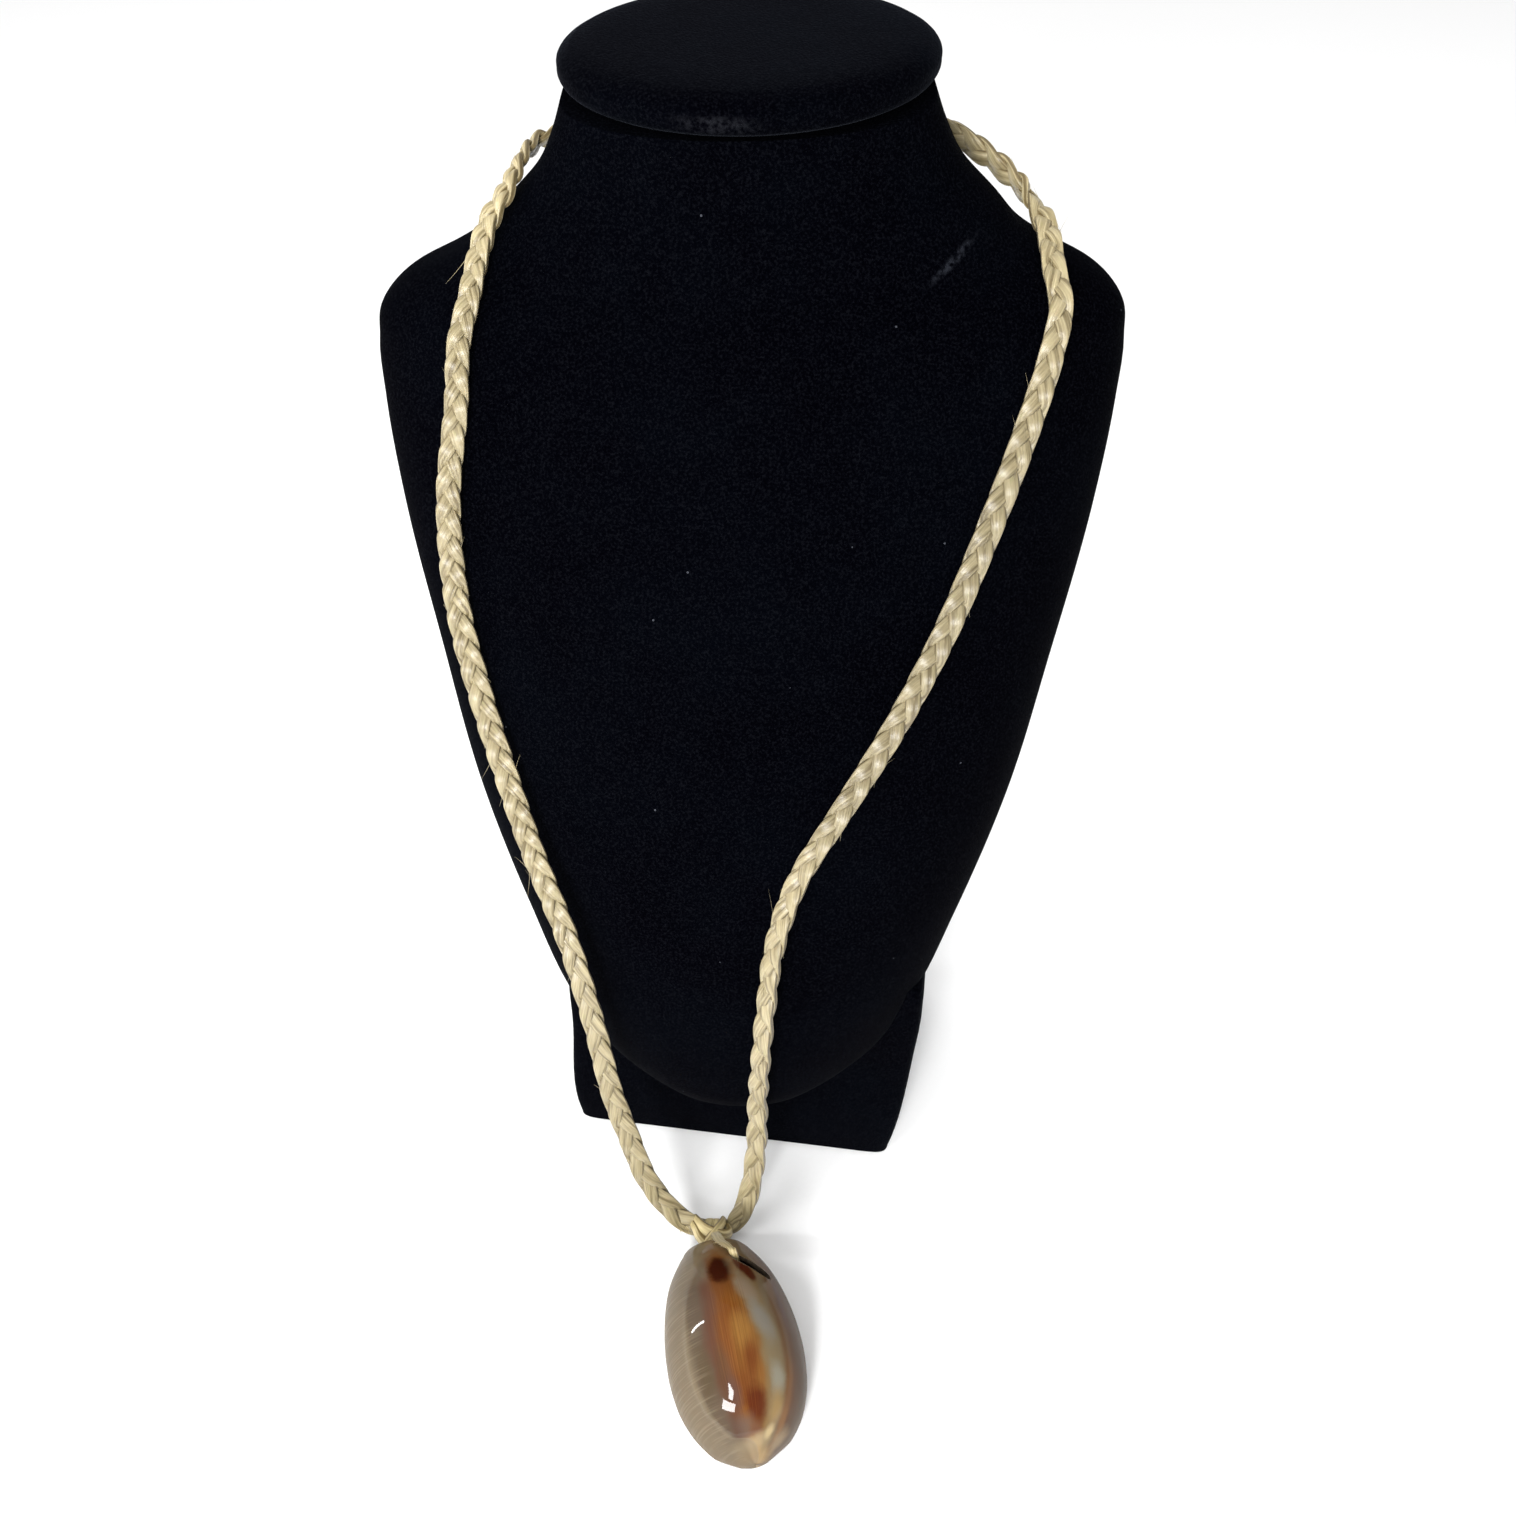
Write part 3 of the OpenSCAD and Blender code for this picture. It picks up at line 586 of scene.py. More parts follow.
# %% [markdown]
# A flat three strand plait has a simple rule. A strand swings from side to side, and rises and falls
# twice as often, so it goes over at one crossing and under at the next. Flat ribbon crosses on a
# straight slant and folds over at the edge, so its swing is a triangle wave with its peaks rounded off.
# The three strands do the same, a third of a turn apart. The left side is plaited tighter.

# %% Frames and paths of the strands
# a strand's swing and rise, its half width and half thickness, and half the plait's width
SWING, RISE, HALF_W, HALF_T, HALF_PLAIT = 2.62, 0.92, 1.95, 0.84, 3.35
# how sharp the swing's peaks are, and the width at the plait's edges in which ribbons fold
PEAK, FOLD_W = 0.965, 0.7
# share of the loop, and how far the plait's face is drawn to the viewer, in shares of FACE_PULL
FACE_PULL = 2.5
DRAWN = [(0, 1), (0.35, 1), (0.415, 0), (0.52, 0), (0.57, 1), (1, 1)]
# on the lower right it rolls on, past its broad face: share of the loop, and degrees from the viewer
ROLLED = [(0.75, 172), (0.79, 177), (0.82, 192), (0.85, 204), (0.89, 207), (0.94, 205), (0.975, 191),
          (1.0, 180)]
# length along the cord in mm, length of one full lay, and share of the full width
LAY = [
    (0, 40, 1.02), (35, 38, 1.02), (65, 35, 1.02), (95, 32, 0.98), (125, 29, 0.95), (155, 25.5, 0.97),
    (185, 23.5, 1.0), (215, 23, 1.02), (245, 22.3, 1.0), (275, 21.8, 0.94), (305, 20.8, 0.88),
    (335, 20, 0.78), (370, 20, 0.90), (440, 22, 0.95), (490, 24, 0.82), (540, 26, 0.82),
    (575, 26, 0.93), (640, 26.2, 0.95), (665, 26.4, 0.93), (700, 27, 0.87), (725, 29.5, 0.82),
    (755, 33, 0.76), (785, 36, 0.78), (815, 40, 0.86), (900, 42, 1.0)]
# how much the lashing draws the ends in, and how far along the left and right end it does
DRAW_IN, DRAW_LEFT, DRAW_RIGHT = 0.40, 4.5, 7.5


def turned(v, axis, angle):
    """Vectors turned about an axis by an angle."""
    c, s = np.cos(angle)[:, None], np.sin(angle)[:, None]
    return v*c + np.cross(axis, v)*s + axis*along_part(axis, v)*(1 - c)


share_run = cord_run/CORD_LEN
cord_way = unit(np.gradient(cord_rows[:, :3], axis=0))
cord_face = cord_rows[:, 3:6] - cord_way*along_part(cord_rows[:, 3:6], cord_way)
cord_face = turned(unit(cord_face), cord_way, np.radians(cord_rows[:, 6]))
# the plait rolls a little on the form, so that its broad face is seen
to_viewer = unit(CAMERA_PLACE - cord_rows[:, :3])
to_viewer = unit(to_viewer - cord_way*along_part(to_viewer, cord_way))
pull = FACE_PULL*follow(DRAWN, 1, share_run)[:, None]
cord_face = unit(cord_face + pull*to_viewer*along_part(cord_face, to_viewer))
rolled = turned(to_viewer, cord_way, np.radians(follow(ROLLED, 1, share_run)))
cord_face = np.where((share_run > ROLLED[0][0])[:, None], unit(rolled), cord_face)
cord_side = np.cross(cord_way, cord_face)
# 0 on the left half of the loop and 1 on the right half, with a soft step behind the neck
half_way = 1/(1 + np.exp(-(share_run - 0.47)*30))
from_end = np.minimum(cord_run, CORD_LEN - cord_run)
end_reach = np.where(cord_run < CORD_LEN/2, DRAW_LEFT, DRAW_RIGHT)
drawn_in = 1 - DRAW_IN*np.exp(-(from_end/end_reach)**2)
lay_len = follow(LAY, 1, cord_run)
width_share = follow(LAY, 2, cord_run)
# no hand plaits quite evenly, so the crossings wander along the cord by a little
wander = 0.18*np.sin(cord_run/31 + 1) + 0.15*np.sin(cord_run/13)
plait_angle = np.cumsum(2*np.pi/lay_len*np.gradient(cord_run)) + wander + math.radians(40)
print("lays round the loop: %.1f" % ((plait_angle[-1] - plait_angle[0])/(2*np.pi)))


def strand_path(phase):
    """Middle of the cord plus side times a rounded triangle wave of a, less face times the sine of 2a."""
    a = plait_angle + 2*np.pi*phase/3
    swell = (1 + 0.06*half_way)*(1 + 0.04*np.sin(cord_run/23 + phase*2.1))
    loose = 1 + 0.14*np.clip((lay_len - 22)/14, 0, 1)
    across = SWING*loose*width_share*swell*drawn_in*np.arcsin(PEAK*np.sin(a))/math.asin(PEAK)
    # where they are drawn in, the ends also come up into the lashing
    raised = np.array([0, 1.6, 1.92])*(1 - drawn_in)[:, None]
    return (cord_rows[:, :3] + cord_side*across[:, None] - cord_face*(RISE*drawn_in*np.sin(2*a))[:, None]
            + raised)


def within_edges(points):
    """Ribbons fold at the plait's edge: the way past it is squeezed by a hyperbolic tangent."""
    off = ((points - cord_rows[:, None, :3])*cord_side[:, None]).sum(-1)
    inner = (HALF_PLAIT*(1 + 0.07*half_way)*width_share*drawn_in)[:, None] - FOLD_W
    past = np.maximum(np.abs(off) - inner, 0)
    held = np.sign(off)*(np.minimum(np.abs(off), inner) + FOLD_W*np.tanh(past/FOLD_W))
    return points + cord_side[:, None]*(held - off)[..., None]


# %% [markdown]
# A strand is a bundle of ribbons. Its outline is a flattened circle with a narrow dip between every two
# ribbons, and the dips drift slowly round the bundle and come and go along it, as torn leaf does.

# %% Bundle of ribbons along a path
DIP_HALF = 0.13
# powers that square the outline off, across the bundle and through it
WIDE_POWER, THICK_POWER = 0.9, 0.68


def bundle(name, path, face, half_w, half_t, points=40, ribbons=9, depth=0.075, seed=0.0, held_by=None):
    """Flattened tube whose outline dips between ribbons; each dip drifts slowly round as it goes."""
    way = unit(np.gradient(path, axis=0))
    broad = unit(np.cross(way, face))
    high = np.cross(broad, way)
    run = np.concatenate([[0], np.cumsum(np.linalg.norm(np.diff(path, axis=0), axis=1))])
    grid_a, grid_s = circle(points)[None, :], run[:, None]
    dips = np.zeros((len(path), points))
    for k in range(ribbons):
        drift = 0.45*np.sin(grid_s/(9.0 + 1.7*k) + k*1.9 + seed) + (-1)**k*grid_s/150
        off = np.angle(np.exp(1j*(grid_a - (2*np.pi*k/ribbons + drift))))
        dips += np.exp(-(off/DIP_HALF)**2)*(0.6 + 0.4*np.sin(grid_s/6.3 + k*2.3 + seed))
    plump = 1 + 0.05*np.sin(2*grid_a + grid_s/7.7 + seed)
    w = np.broadcast_to(np.asarray(half_w, float), (len(path),))[:, None]
    t = np.broadcast_to(np.asarray(half_t, float), (len(path),))[:, None]
    x = -powered(np.cos(grid_a), WIDE_POWER)*(w*plump - depth*dips)
    y = powered(np.sin(grid_a), THICK_POWER)*(t*plump - depth*dips)
    skin_points = path[:, None] + broad[:, None]*x[..., None] + high[:, None]*y[..., None]
    if held_by is not None:
        skin_points = held_by(skin_points)
    return skin(name, skin_points, uv=run_and_round(run, points),
                values={"dip": np.clip(dips, 0, 1), "high": np.sin(grid_a) + 0*grid_s})


# %% [markdown]
# Raffia is a thin leaf torn along its length. Each ribbon shows fine lengthwise fibres and a satin
# shine. The folds between ribbons are painted darker, as painted shade. The pattern follows the
# surface, so it reads the piece's own UV map: the first value is the length along the strand in
# millimetres. The mesh also carries how deep in a dip a point lies, and how high it lies on the
# strand, from -1 to 1.

# %% Raffia as a group of nodes
raffia_group, leaf_in, leaf_out = group_of(
    "raffia fibres", [("Run", "Vector", None), ("Ribbons round", "Float", 40.0), ("Dip", "Float", 0.0),
                      ("High", "Float", 1.0), ("Tone", "Float", 0.5)],
    [("Colour", "Color"), ("Height", "Float")])
run_along, run_round = add(raffia_group, "ShaderNodeSeparateXYZ", {0: leaf_in["Run"]}).outputs[:2]
fine = stretched(raffia_group, run_along, 0.10, run_round, leaf_in["Ribbons round"])
coarse = stretched(raffia_group, run_along, 0.16, run_round, 5.0)
fibre = noise(raffia_group, fine, 1.0, 4, 0.6)
tint = noise(raffia_group, coarse, 1.0, 2, 0.5)
cream = mixed(raffia_group, between(raffia_group, tint, 0.35, 0.68), srgb(141, 130, 99), srgb(116, 104, 74))
cream = mixed(raffia_group, between(raffia_group, fibre, 0.30, 0.75), cream, srgb(168, 156, 124))
# some lengths are a little pink and some a little green
blush = noise(raffia_group, coarse, 2.3, 1, 0.5)
cream = mixed(raffia_group, between(raffia_group, blush, 0.62, 0.80, 0, 0.35), cream, srgb(168, 140, 116))
cream = mixed(raffia_group, between(raffia_group, blush, 0.38, 0.22, 0, 0.35), cream, srgb(140, 140, 92))
# painted shade: the colour darkens in the dips, and at a strand's sides, where it meets the next one
side_shade_mask = between(raffia_group, calc(raffia_group, "ABSOLUTE", leaf_in["High"]), 0.74, 0.12)
fold_shade = calc(raffia_group, "MAXIMUM", times(raffia_group, leaf_in["Dip"], 0.7),
                  times(raffia_group, side_shade_mask, 0.85))
cream = mixed(raffia_group, fold_shade, cream, srgb(72, 58, 28))
flaw = times(raffia_group, dots(raffia_group, fine, 1.3, 0.16, 0.975), 0.7)
cream = mixed(raffia_group, flaw, cream, srgb(80, 62, 40))
raffia_group.links.new(mixed(raffia_group, leaf_in["Tone"], cream, srgb(240, 232, 204), "SOFT_LIGHT"),
                       leaf_out["Colour"])
raffia_group.links.new(plus(raffia_group, fibre, times(raffia_group, tint, 0.5)), leaf_out["Height"])
print("raffia group has", len(raffia_group.nodes), "nodes")


# %% Three raffias from the group
def raffia(name, around_count, tone, rough, bright=1.0):
    """Satin raffia; around_count is how many fibres lie round one strand, and bright scales its colour."""
    material, tree, shader = finish_of(name, Roughness=rough, Specular_IOR_Level=0.6, Sheen_Weight=0.05,
                                       Subsurface_Weight=0.06, Subsurface_Radius=(0.9, 0.7, 0.4),
                                       Subsurface_Scale=0.0006)
    strand = add(tree, "ShaderNodeGroup", node_tree=raffia_group)
    tree.links.new(add(tree, "ShaderNodeUVMap", uv_map="run").outputs[0], strand.inputs["Run"])
    tree.links.new(carried(tree, "dip"), strand.inputs["Dip"])
    tree.links.new(carried(tree, "high"), strand.inputs["High"])
    strand.inputs["Ribbons round"].default_value = around_count
    strand.inputs["Tone"].default_value = tone
    # painted shade: the ribbons on the right half are darkened up to a height, as the light falls from the
    # left; near the nape all are paler
    place = add(tree, "ShaderNodeSeparateXYZ", {0: own_place(tree)}).outputs
    right_side_shade = times(tree, between(tree, place["X"], 0.010, 0.030, 0, 0.9),
                    between(tree, place["Z"], 0.240, 0.290, 1, 0))
    colour = mixed(tree, right_side_shade, strand.outputs["Colour"], (0.76, 0.76, 0.76), "MULTIPLY")
    paler = between(tree, place["Z"], 0.278, 0.314, bright, 1.45*bright)
    tree.links.new(mixed(tree, 1.0, colour, paler, "MULTIPLY"), shader.inputs["Base Color"])
    emboss(tree, shader, strand.outputs["Height"], 0.55, 0.00025)
    return material


# the lashing and the tie are lighter copies of the plait's raffia, by tone and brightness: painted light that
# makes up for the shade low in front, where they lie
plait_raffia = raffia("plait raffia", 34.0, 0.05, 0.33)
lashing_raffia = raffia("lashing raffia", 30.0, 0.5, 0.38, 1.35)
tie_raffia = raffia("tie raffia", 26.0, 0.4, 0.42, 1.25)
print("raffias made")

# %% Three strands of the plait
# where the plait is loose its strands are broader, so that they still cover each other
strand_half = HALF_W*(1 + 0.08*half_way)*(1 + 0.20*np.clip((lay_len - 25)/12, 0, 1))
for phase in range(3):
    piece = bundle("plait_strand_%d" % (phase + 1), strand_path(phase), cord_face, strand_half*drawn_in,
                   HALF_T, depth=0.10, seed=phase*2.0, held_by=within_edges)
    settle(piece, plait_raffia, "plait_raffia", "strand_%d" % (phase + 1))

# %% [markdown]
# No hand plait is tidy. Thin splinters of leaf stand off it, mostly lying along the strands, and a
# small tuft of cut ends shows beside the lashing. Each is a fine three-sided tube.


# %% Loose fibres
def threads(name, starts, ways, lifts, lengths, thick):
    """Each thread leaves its start along its way and bends out by its lift times the share run, squared."""
    count, steps, sides = len(starts), 7, 3
    t = np.linspace(0, 1, steps)[None, :, None]
    mid = starts[:, None] + ways[:, None]*lengths[:, None, None]*t + lifts[:, None]*t*t
    way = unit(np.gradient(mid, axis=1))
    broad = unit(np.cross(way, lifts[:, None] + 1e-3))
    high = np.cross(broad, way)
    r = (thick[:, None]*(1 - 0.75*t[..., 0]))[..., None, None]
    a = circle(sides)[None, None, :, None]
    ring = broad[:, :, None]*np.cos(a) + high[:, :, None]*np.sin(a)
    ids = np.arange(count*steps*sides).reshape(count, steps, sides)
    low, top = ids[:, :-1], ids[:, 1:]
    faces = np.stack([low, top, np.roll(top, -1, 2), np.roll(low, -1, 2)], -1).reshape(-1, 4).tolist()
    faces += ids[:, 0].tolist() + ids[:, -1, ::-1].tolist()
    mesh = mesh_of(name, (mid[:, :, None] + ring*r).reshape(-1, 3), faces)
    mesh.uv_layers.new(name="run")
    mesh.attributes.new("dip", "FLOAT", "POINT")
    mesh.attributes.new("high", "FLOAT", "POINT").data.foreach_set("value", np.ones(len(mesh.vertices)))
    mesh.update()
    return placed(name, mesh)


def drawn(low, high, count):
    """One value for each thread, drawn evenly between two limits, as a column."""
    return rng.uniform(low, high, count)[:, None]


LOOSE, FROM_ENDS, PLAIT_SIDE, PLAIT_TOP = 170, 60, 3.1, 1.7
pick = rng.integers(FROM_ENDS, len(cord_rows) - FROM_ENDS, LOOSE)
lean = drawn(-1.2, 1.2, LOOSE)
# a row whose face is turned by more than a right angle shows its other face
shown_face = cord_face[pick]*np.sign(np.cos(np.radians(cord_rows[pick, 6])))[:, None]
out = shown_face*np.cos(lean) + cord_side[pick]*np.sin(lean)
start = cord_rows[pick, :3] + shown_face*PLAIT_TOP*np.cos(lean) + cord_side[pick]*PLAIT_SIDE*np.sin(lean)
way = unit(cord_way[pick]*rng.choice([-1, 1], LOOSE)[:, None]
           + cord_side[pick]*rng.normal(0, 0.35, LOOSE)[:, None])
loose = threads("loose_fibres", start, way, out*drawn(0.2, 1.1, LOOSE), rng.uniform(3, 8, LOOSE),
                rng.uniform(0.05, 0.12, LOOSE))
settle(loose, plait_raffia, "plait_raffia")
print("loose fibres:", LOOSE)

# %% [markdown]
# The lashing is wide raffia ribbon. It goes twice round the meeting ends of the plait, and below them it
# is folded over itself into a fat knot, out of which the shell's ribbon comes. The windings follow the
# squared outline round the plait, and the folds are ribbons laid along a few points measured from it.

# %% Lashing and knot
# the winding is drawn tighter than the solid band, sits further forward, and goes from side to side
LASH_TIGHT, LASH_SHIFT, LASH_TURNS = 0.84, np.array([0.0, -1.2, 0.0]), 2.0
LASH_FROM, LASH_TO, SUNK = -2.6, 2.3, -0.15


def wound(name, half_w, half_t, seed):
    """A ribbon round the plait: its angle grows evenly, and its place along the plait does too."""
    wind = np.linspace(0, 2*np.pi*LASH_TURNS, int(64*LASH_TURNS))
    share = wind/wind[-1]
    shift = np.stack([LASH_FROM + (LASH_TO - LASH_FROM)*share, 0*wind, 0*wind], -1)
    path = KNOT + LASH_SHIFT + LASH_TIGHT*lash_point(wind, SUNK) + shift
    ends_in = np.minimum(1, 0.4 + 5*np.minimum(share, 1 - share))
    return bundle(name, path, unit(lash_point(wind, 0)), half_w*ends_in, half_t, points=28, ribbons=7,
                  depth=0.10, seed=seed)


settle(wound("lashing_wrap", 1.7, 0.6, 3.0), lashing_raffia, "lashing_raffia", "lashing")
FOLD_HALF_W, FOLD_HALF_T, KNOT_HEART = 1.75, 1.15, np.array([0.0, 0.3, 0.2])
# point from the middle of the lashing, share of the size
FOLDS = {
    "knot_under": [(-7.5, 0.8, 1.2, 0.8), (-5.9, -2.0, 1.9, 1.0), (-4.4, -5.0, 1.6, 1.1),
                   (-1.6, -7.0, 1.2, 1.2), (1.4, -6.7, 1.4, 1.15), (4.0, -5.0, 1.7, 1.0),
                   (5.2, -2.6, 1.6, 0.9), (3.4, -0.6, 0.6, 0.8)],
    "knot_over": [(-6.6, 2.2, 2.0, 0.7), (-5.1, -0.4, 3.2, 0.9), (-2.8, -3.2, 4.0, 1.05),
                  (0.2, -4.9, 4.2, 1.15), (3.2, -5.0, 3.6, 1.0), (5.1, -3.0, 2.2, 0.9),
                  (4.4, -0.2, 1.2, 0.8)],
    "knot_cross": [(3.2, 1.6, 2.2, 0.7), (2.6, -1.0, 3.8, 0.85), (1.1, -4.0, 4.8, 0.95),
                   (-0.8, -6.4, 4.0, 0.95), (-2.0, -7.0, 2.2, 0.8)]}
for k, (name, rows) in enumerate(FOLDS.items()):
    path = evenly(curve_through(np.array(rows), 30), 0.3)[0]
    lie = path[:, :3] - KNOT_HEART
    way = unit(np.gradient(path[:, :3], axis=0))
    fold_face = unit(lie - way*along_part(lie, way))
    fold = bundle(name, KNOT + path[:, :3], fold_face, FOLD_HALF_W*path[:, 3], FOLD_HALF_T*path[:, 3],
                  points=32, ribbons=8, depth=0.14, seed=4.0 + 3*k)
    settle(fold, lashing_raffia, "lashing_raffia")

# %% Tuft of cut ends
TUFT = 26
tuft_start = np.hstack([drawn(-12.5, -8.5, TUFT), drawn(-1.0, 0.6, TUFT), drawn(-0.6, 1.4, TUFT)])
tuft_way = unit(np.hstack([drawn(0.1, 0.9, TUFT), drawn(-1.0, -0.6, TUFT), drawn(-0.30, 0.0, TUFT)]))
tuft_lift = np.hstack([np.zeros((TUFT, 2)), drawn(-0.4, 0.2, TUFT)])
cut_ends = threads("cut_ends", KNOT + tuft_start, tuft_way, tuft_lift, rng.uniform(1.4, 2.9, TUFT),
                   rng.uniform(0.10, 0.20, TUFT))
settle(cut_ends, lashing_raffia, "lashing_raffia")

# %% [markdown]
# The shell is a cowrie, 72 mm long, lying on its flat toothed side. Each share along its length has a
# half width and a height. The back is a half ellipse and the base is low, with the mouth between two
# lips that run its whole length. The wall is about 2 mm thick and the shell is empty.

# %% Place and sizes of the shell
SHELL_L, SHELL_W, SHELL_H, SHELL_TURN = 72.0, 42.5, 32.0, math.radians(13.3)
# height of the sides as a share of the shell's, the lips' half width and the wall, both where it is widest
SIDE_SHARE, LIP, WALL, TEETH = 0.24, 1.7, 2.2, 25
BACK_POWER_UP, BASE_POWER = 0.95, 0.67
# share from the lashed end, half width share, height share
SHELL = [
    (0.000, 0.20, 0.20), (0.020, 0.44, 0.315), (0.060, 0.55, 0.46), (0.130, 0.66, 0.64),
    (0.240, 0.81, 0.835), (0.380, 0.93, 0.97), (0.520, 0.99, 1.00), (0.660, 0.98, 0.94),
    (0.780, 0.89, 0.81), (0.880, 0.71, 0.63), (0.950, 0.49, 0.42), (0.985, 0.31, 0.29), (1.000, 0.22, 0.21)]
shell_origin = np.array([KNOT[0] - 1.3, KNOT[1] - 6.5, TABLE])


def on_table(p):
    """From the shell's own frame, its lashed end at the origin and its length along -Y, to the bust's."""
    return turned_flat(p, SHELL_TURN) + shell_origin


def shell_section(u, a, wall=0.0, reach=0.0, ridge=0.0):
    """Half ellipse above the sides and a low curve below; the lips stop short of the middle by the mouth."""
    rad = np.radians(a)
    w = follow(SHELL, 1, u)*SHELL_W/2
    h = follow(SHELL, 2, u)*SHELL_H
    side = SIDE_SHARE*h
    # the mouth narrows at the far end, and the hollow narrows to the mouth's slit there
    lip = (LIP*(0.5 + 0.5*follow(SHELL, 1, u)) - reach)*(1 - 0.93*np.clip((u - 0.94)/0.05, 0, 1))
    shut = np.clip((u - 0.93)/0.055, 0, 1)**2*(wall > 0)
    thin = wall*(0.35 + 0.65*follow(SHELL, 1, u))
    thin_x = thin + (w - 1.05*lip - thin)*shut
    thin_z = thin + (h - side - 0.4 - thin)*shut
    x = np.cos(rad)*(w - thin_x)
    back = (h - side - thin_z)*np.abs(np.sin(rad))**BACK_POWER_UP
    base = -(side - thin*0.8 + ridge)*np.abs(np.sin(rad))**BASE_POWER
    below = (a < 0) | (a > 180)
    z = np.where((a > 0) & (a < 180), back, base)
    x = np.where(below & (np.abs(x) < lip), np.where(np.cos(rad) < 0, -lip, lip), x)
    # the slit's two edges meet at the far end
    x = np.where(below & (np.abs(np.cos(rad)) < 0.11), x*(1 - 0.96*np.clip((u - 0.94)/0.04, 0, 1)), x)
    # the far end is a little shorter than the table's last rows would make it
    y = -SHELL_L*(u - 0.25*np.maximum(u - 0.93, 0))
    # its two sides are not alike: the left is slimmer at the lashed end, the right at the far end
    right_slim = 1 - 0.2*np.clip((u - 0.87)/0.13, 0, 1)**2
    left_slim = 1 - 0.16*np.exp(-(u/0.12)**2)
    x = np.where(x > 0, x*right_slim, x*left_slim)
    return np.stack([x, y + 0*x, side + z], -1)


# %% Skin of the shell
FIRST_ANGLE, LAST_ANGLE = -84, 264
shell_u = stepped([0, 0.06, 0.94, 1], [19, 169, 21])
shell_a = np.linspace(FIRST_ANGLE, LAST_ANGLE, 160)
U, A = np.meshgrid(shell_u, shell_a, indexing="ij")
ends_fade = np.clip((U - 0.05)*20, 0, 1)*np.clip((0.97 - U)*20, 0, 1)
tooth_wave = (0.5 + 0.5*np.cos(2*np.pi*TEETH*U))**1.6*ends_fade
near_mouth = np.clip((np.abs(A - 90) - 128)/46, 0, 1)
outer = shell_section(U, A, 0.0, 0.85*tooth_wave, 0.30*tooth_wave*near_mouth)
inner = shell_section(U, A, WALL, 0.85*tooth_wave)
# the two skins join at both ends in an edge halfway between them, and along the mouth
middle = (outer + inner)/2
foot_edge = middle[:1] + [0, 0.35, 0]
head_edge = middle[-1:] - [0, 0.5, 0]
outer = np.concatenate([foot_edge, outer, head_edge])
inner = np.concatenate([foot_edge, inner, head_edge])
shell_grid = on_table(np.concatenate([outer, inner[:, ::-1]], 1))
rows_u = np.concatenate([shell_u[:1], shell_u, shell_u[-1:]])
carried_u, carried_a = np.meshgrid(rows_u, np.concatenate([shell_a, shell_a[::-1]]), indexing="ij")
is_inside = np.broadcast_to(np.repeat([0.0, 1.0], len(shell_a)), carried_u.shape)
cowrie = skin("cowrie", shell_grid, capped=False,
              values={"along": carried_u, "round": carried_a, "inside": is_inside})
welded = bmesh.new()
welded.from_mesh(cowrie.data)
bmesh.ops.remove_doubles(welded, verts=welded.verts, dist=0.00001)
welded.to_mesh(cowrie.data)
welded.free()
print("shell grid", shell_grid.shape)

# %% [markdown]
# A cowrie's colour lies in flat spots and bands under a glaze, so it is painted as a list of soft ovals.
# Each row gives an oval's middle and half size, along the shell and round it, and its colour.
# The shell's own mesh carries the two measures as attributes, so the pattern stays on it when it moves.

# %% Oval spot as a group of nodes
oval_group, spot_in, spot_out = group_of(
    "soft oval", [(label, "Float", start) for label, start in (
        ("Along", 0.0), ("Round", 0.0), ("Middle along", 0.5), ("Middle round", 90.0), ("Half along", 0.1),
        ("Half round", 10.0), ("Soft", 0.5), ("Wobble", 0.0))], [("Mask", "Float")])
off_u, off_a = [calc(oval_group, "DIVIDE",
                     calc(oval_group, "SUBTRACT", spot_in[here], spot_in["Middle " + which]),
                     spot_in["Half " + which]) for here, which in (("Along", "along"), ("Round", "round"))]
far = calc(oval_group, "SQRT",
           plus(oval_group, times(oval_group, off_u, off_u), times(oval_group, off_a, off_a)))
far = plus(oval_group, far, spot_in["Wobble"])
oval_mask = between(oval_group, far, plus(oval_group, 1.0, spot_in["Soft"]),
                    calc(oval_group, "SUBTRACT", 1.0, spot_in["Soft"]))
oval_group.links.new(oval_mask, spot_out["Mask"])
print("oval group has", len(oval_group.nodes), "nodes")

# %% Base colours of the cowrie
# angle round the shell in degrees, right side at 0 and back at 90, and its colour there
SHELL_ZONES = [
    (-90, (176, 158, 132)), (0, (120, 106, 92)), (20, (104, 88, 74)), (32, (101, 80, 64)),
    (41, (104, 76, 56)), (49, (118, 90, 64)), (58, (128, 110, 84)), (70, (136, 108, 70)),
    (80, (134, 90, 44)), (92, (132, 84, 38)), (102, (124, 78, 44)), (110, (116, 80, 60)),
    (118, (112, 92, 74)), (128, (118, 102, 83)), (140, (136, 120, 98)), (165, (140, 123, 99)),
    (190, (148, 132, 108)), (264, (188, 170, 142))]
ZONE_FROM, ZONE_TO = SHELL_ZONES[0][0], SHELL_ZONES[-1][0]
cowrie_finish, glaze, glaze_shader = finish_of("cowrie glaze", Coat_Weight=0.28, Coat_Roughness=0.04,
                                               Coat_IOR=1.65, Specular_IOR_Level=0.0, Subsurface_Weight=0.05,
                                               Subsurface_Scale=0.001)
along = carried(glaze, "along")
around = carried(glaze, "round")
inside = carried(glaze, "inside")
where = own_place(glaze)
cloud = calc(glaze, "SUBTRACT", noise(glaze, where, 190, 4, 0.6), 0.5)
drift = calc(glaze, "SUBTRACT", noise(glaze, where, 60, 2, 0.5), 0.5)
bent = plus(glaze, around, plus(glaze, times(glaze, drift, 16.0), times(glaze, cloud, 9.0)))
ramp = add(glaze, "ShaderNodeValToRGB", {0: between(glaze, bent, ZONE_FROM, ZONE_TO, course="LINEAR")})
ramp.color_ramp.interpolation = "EASE"
while len(ramp.color_ramp.elements) < len(SHELL_ZONES):
    ramp.color_ramp.elements.new(0.5)
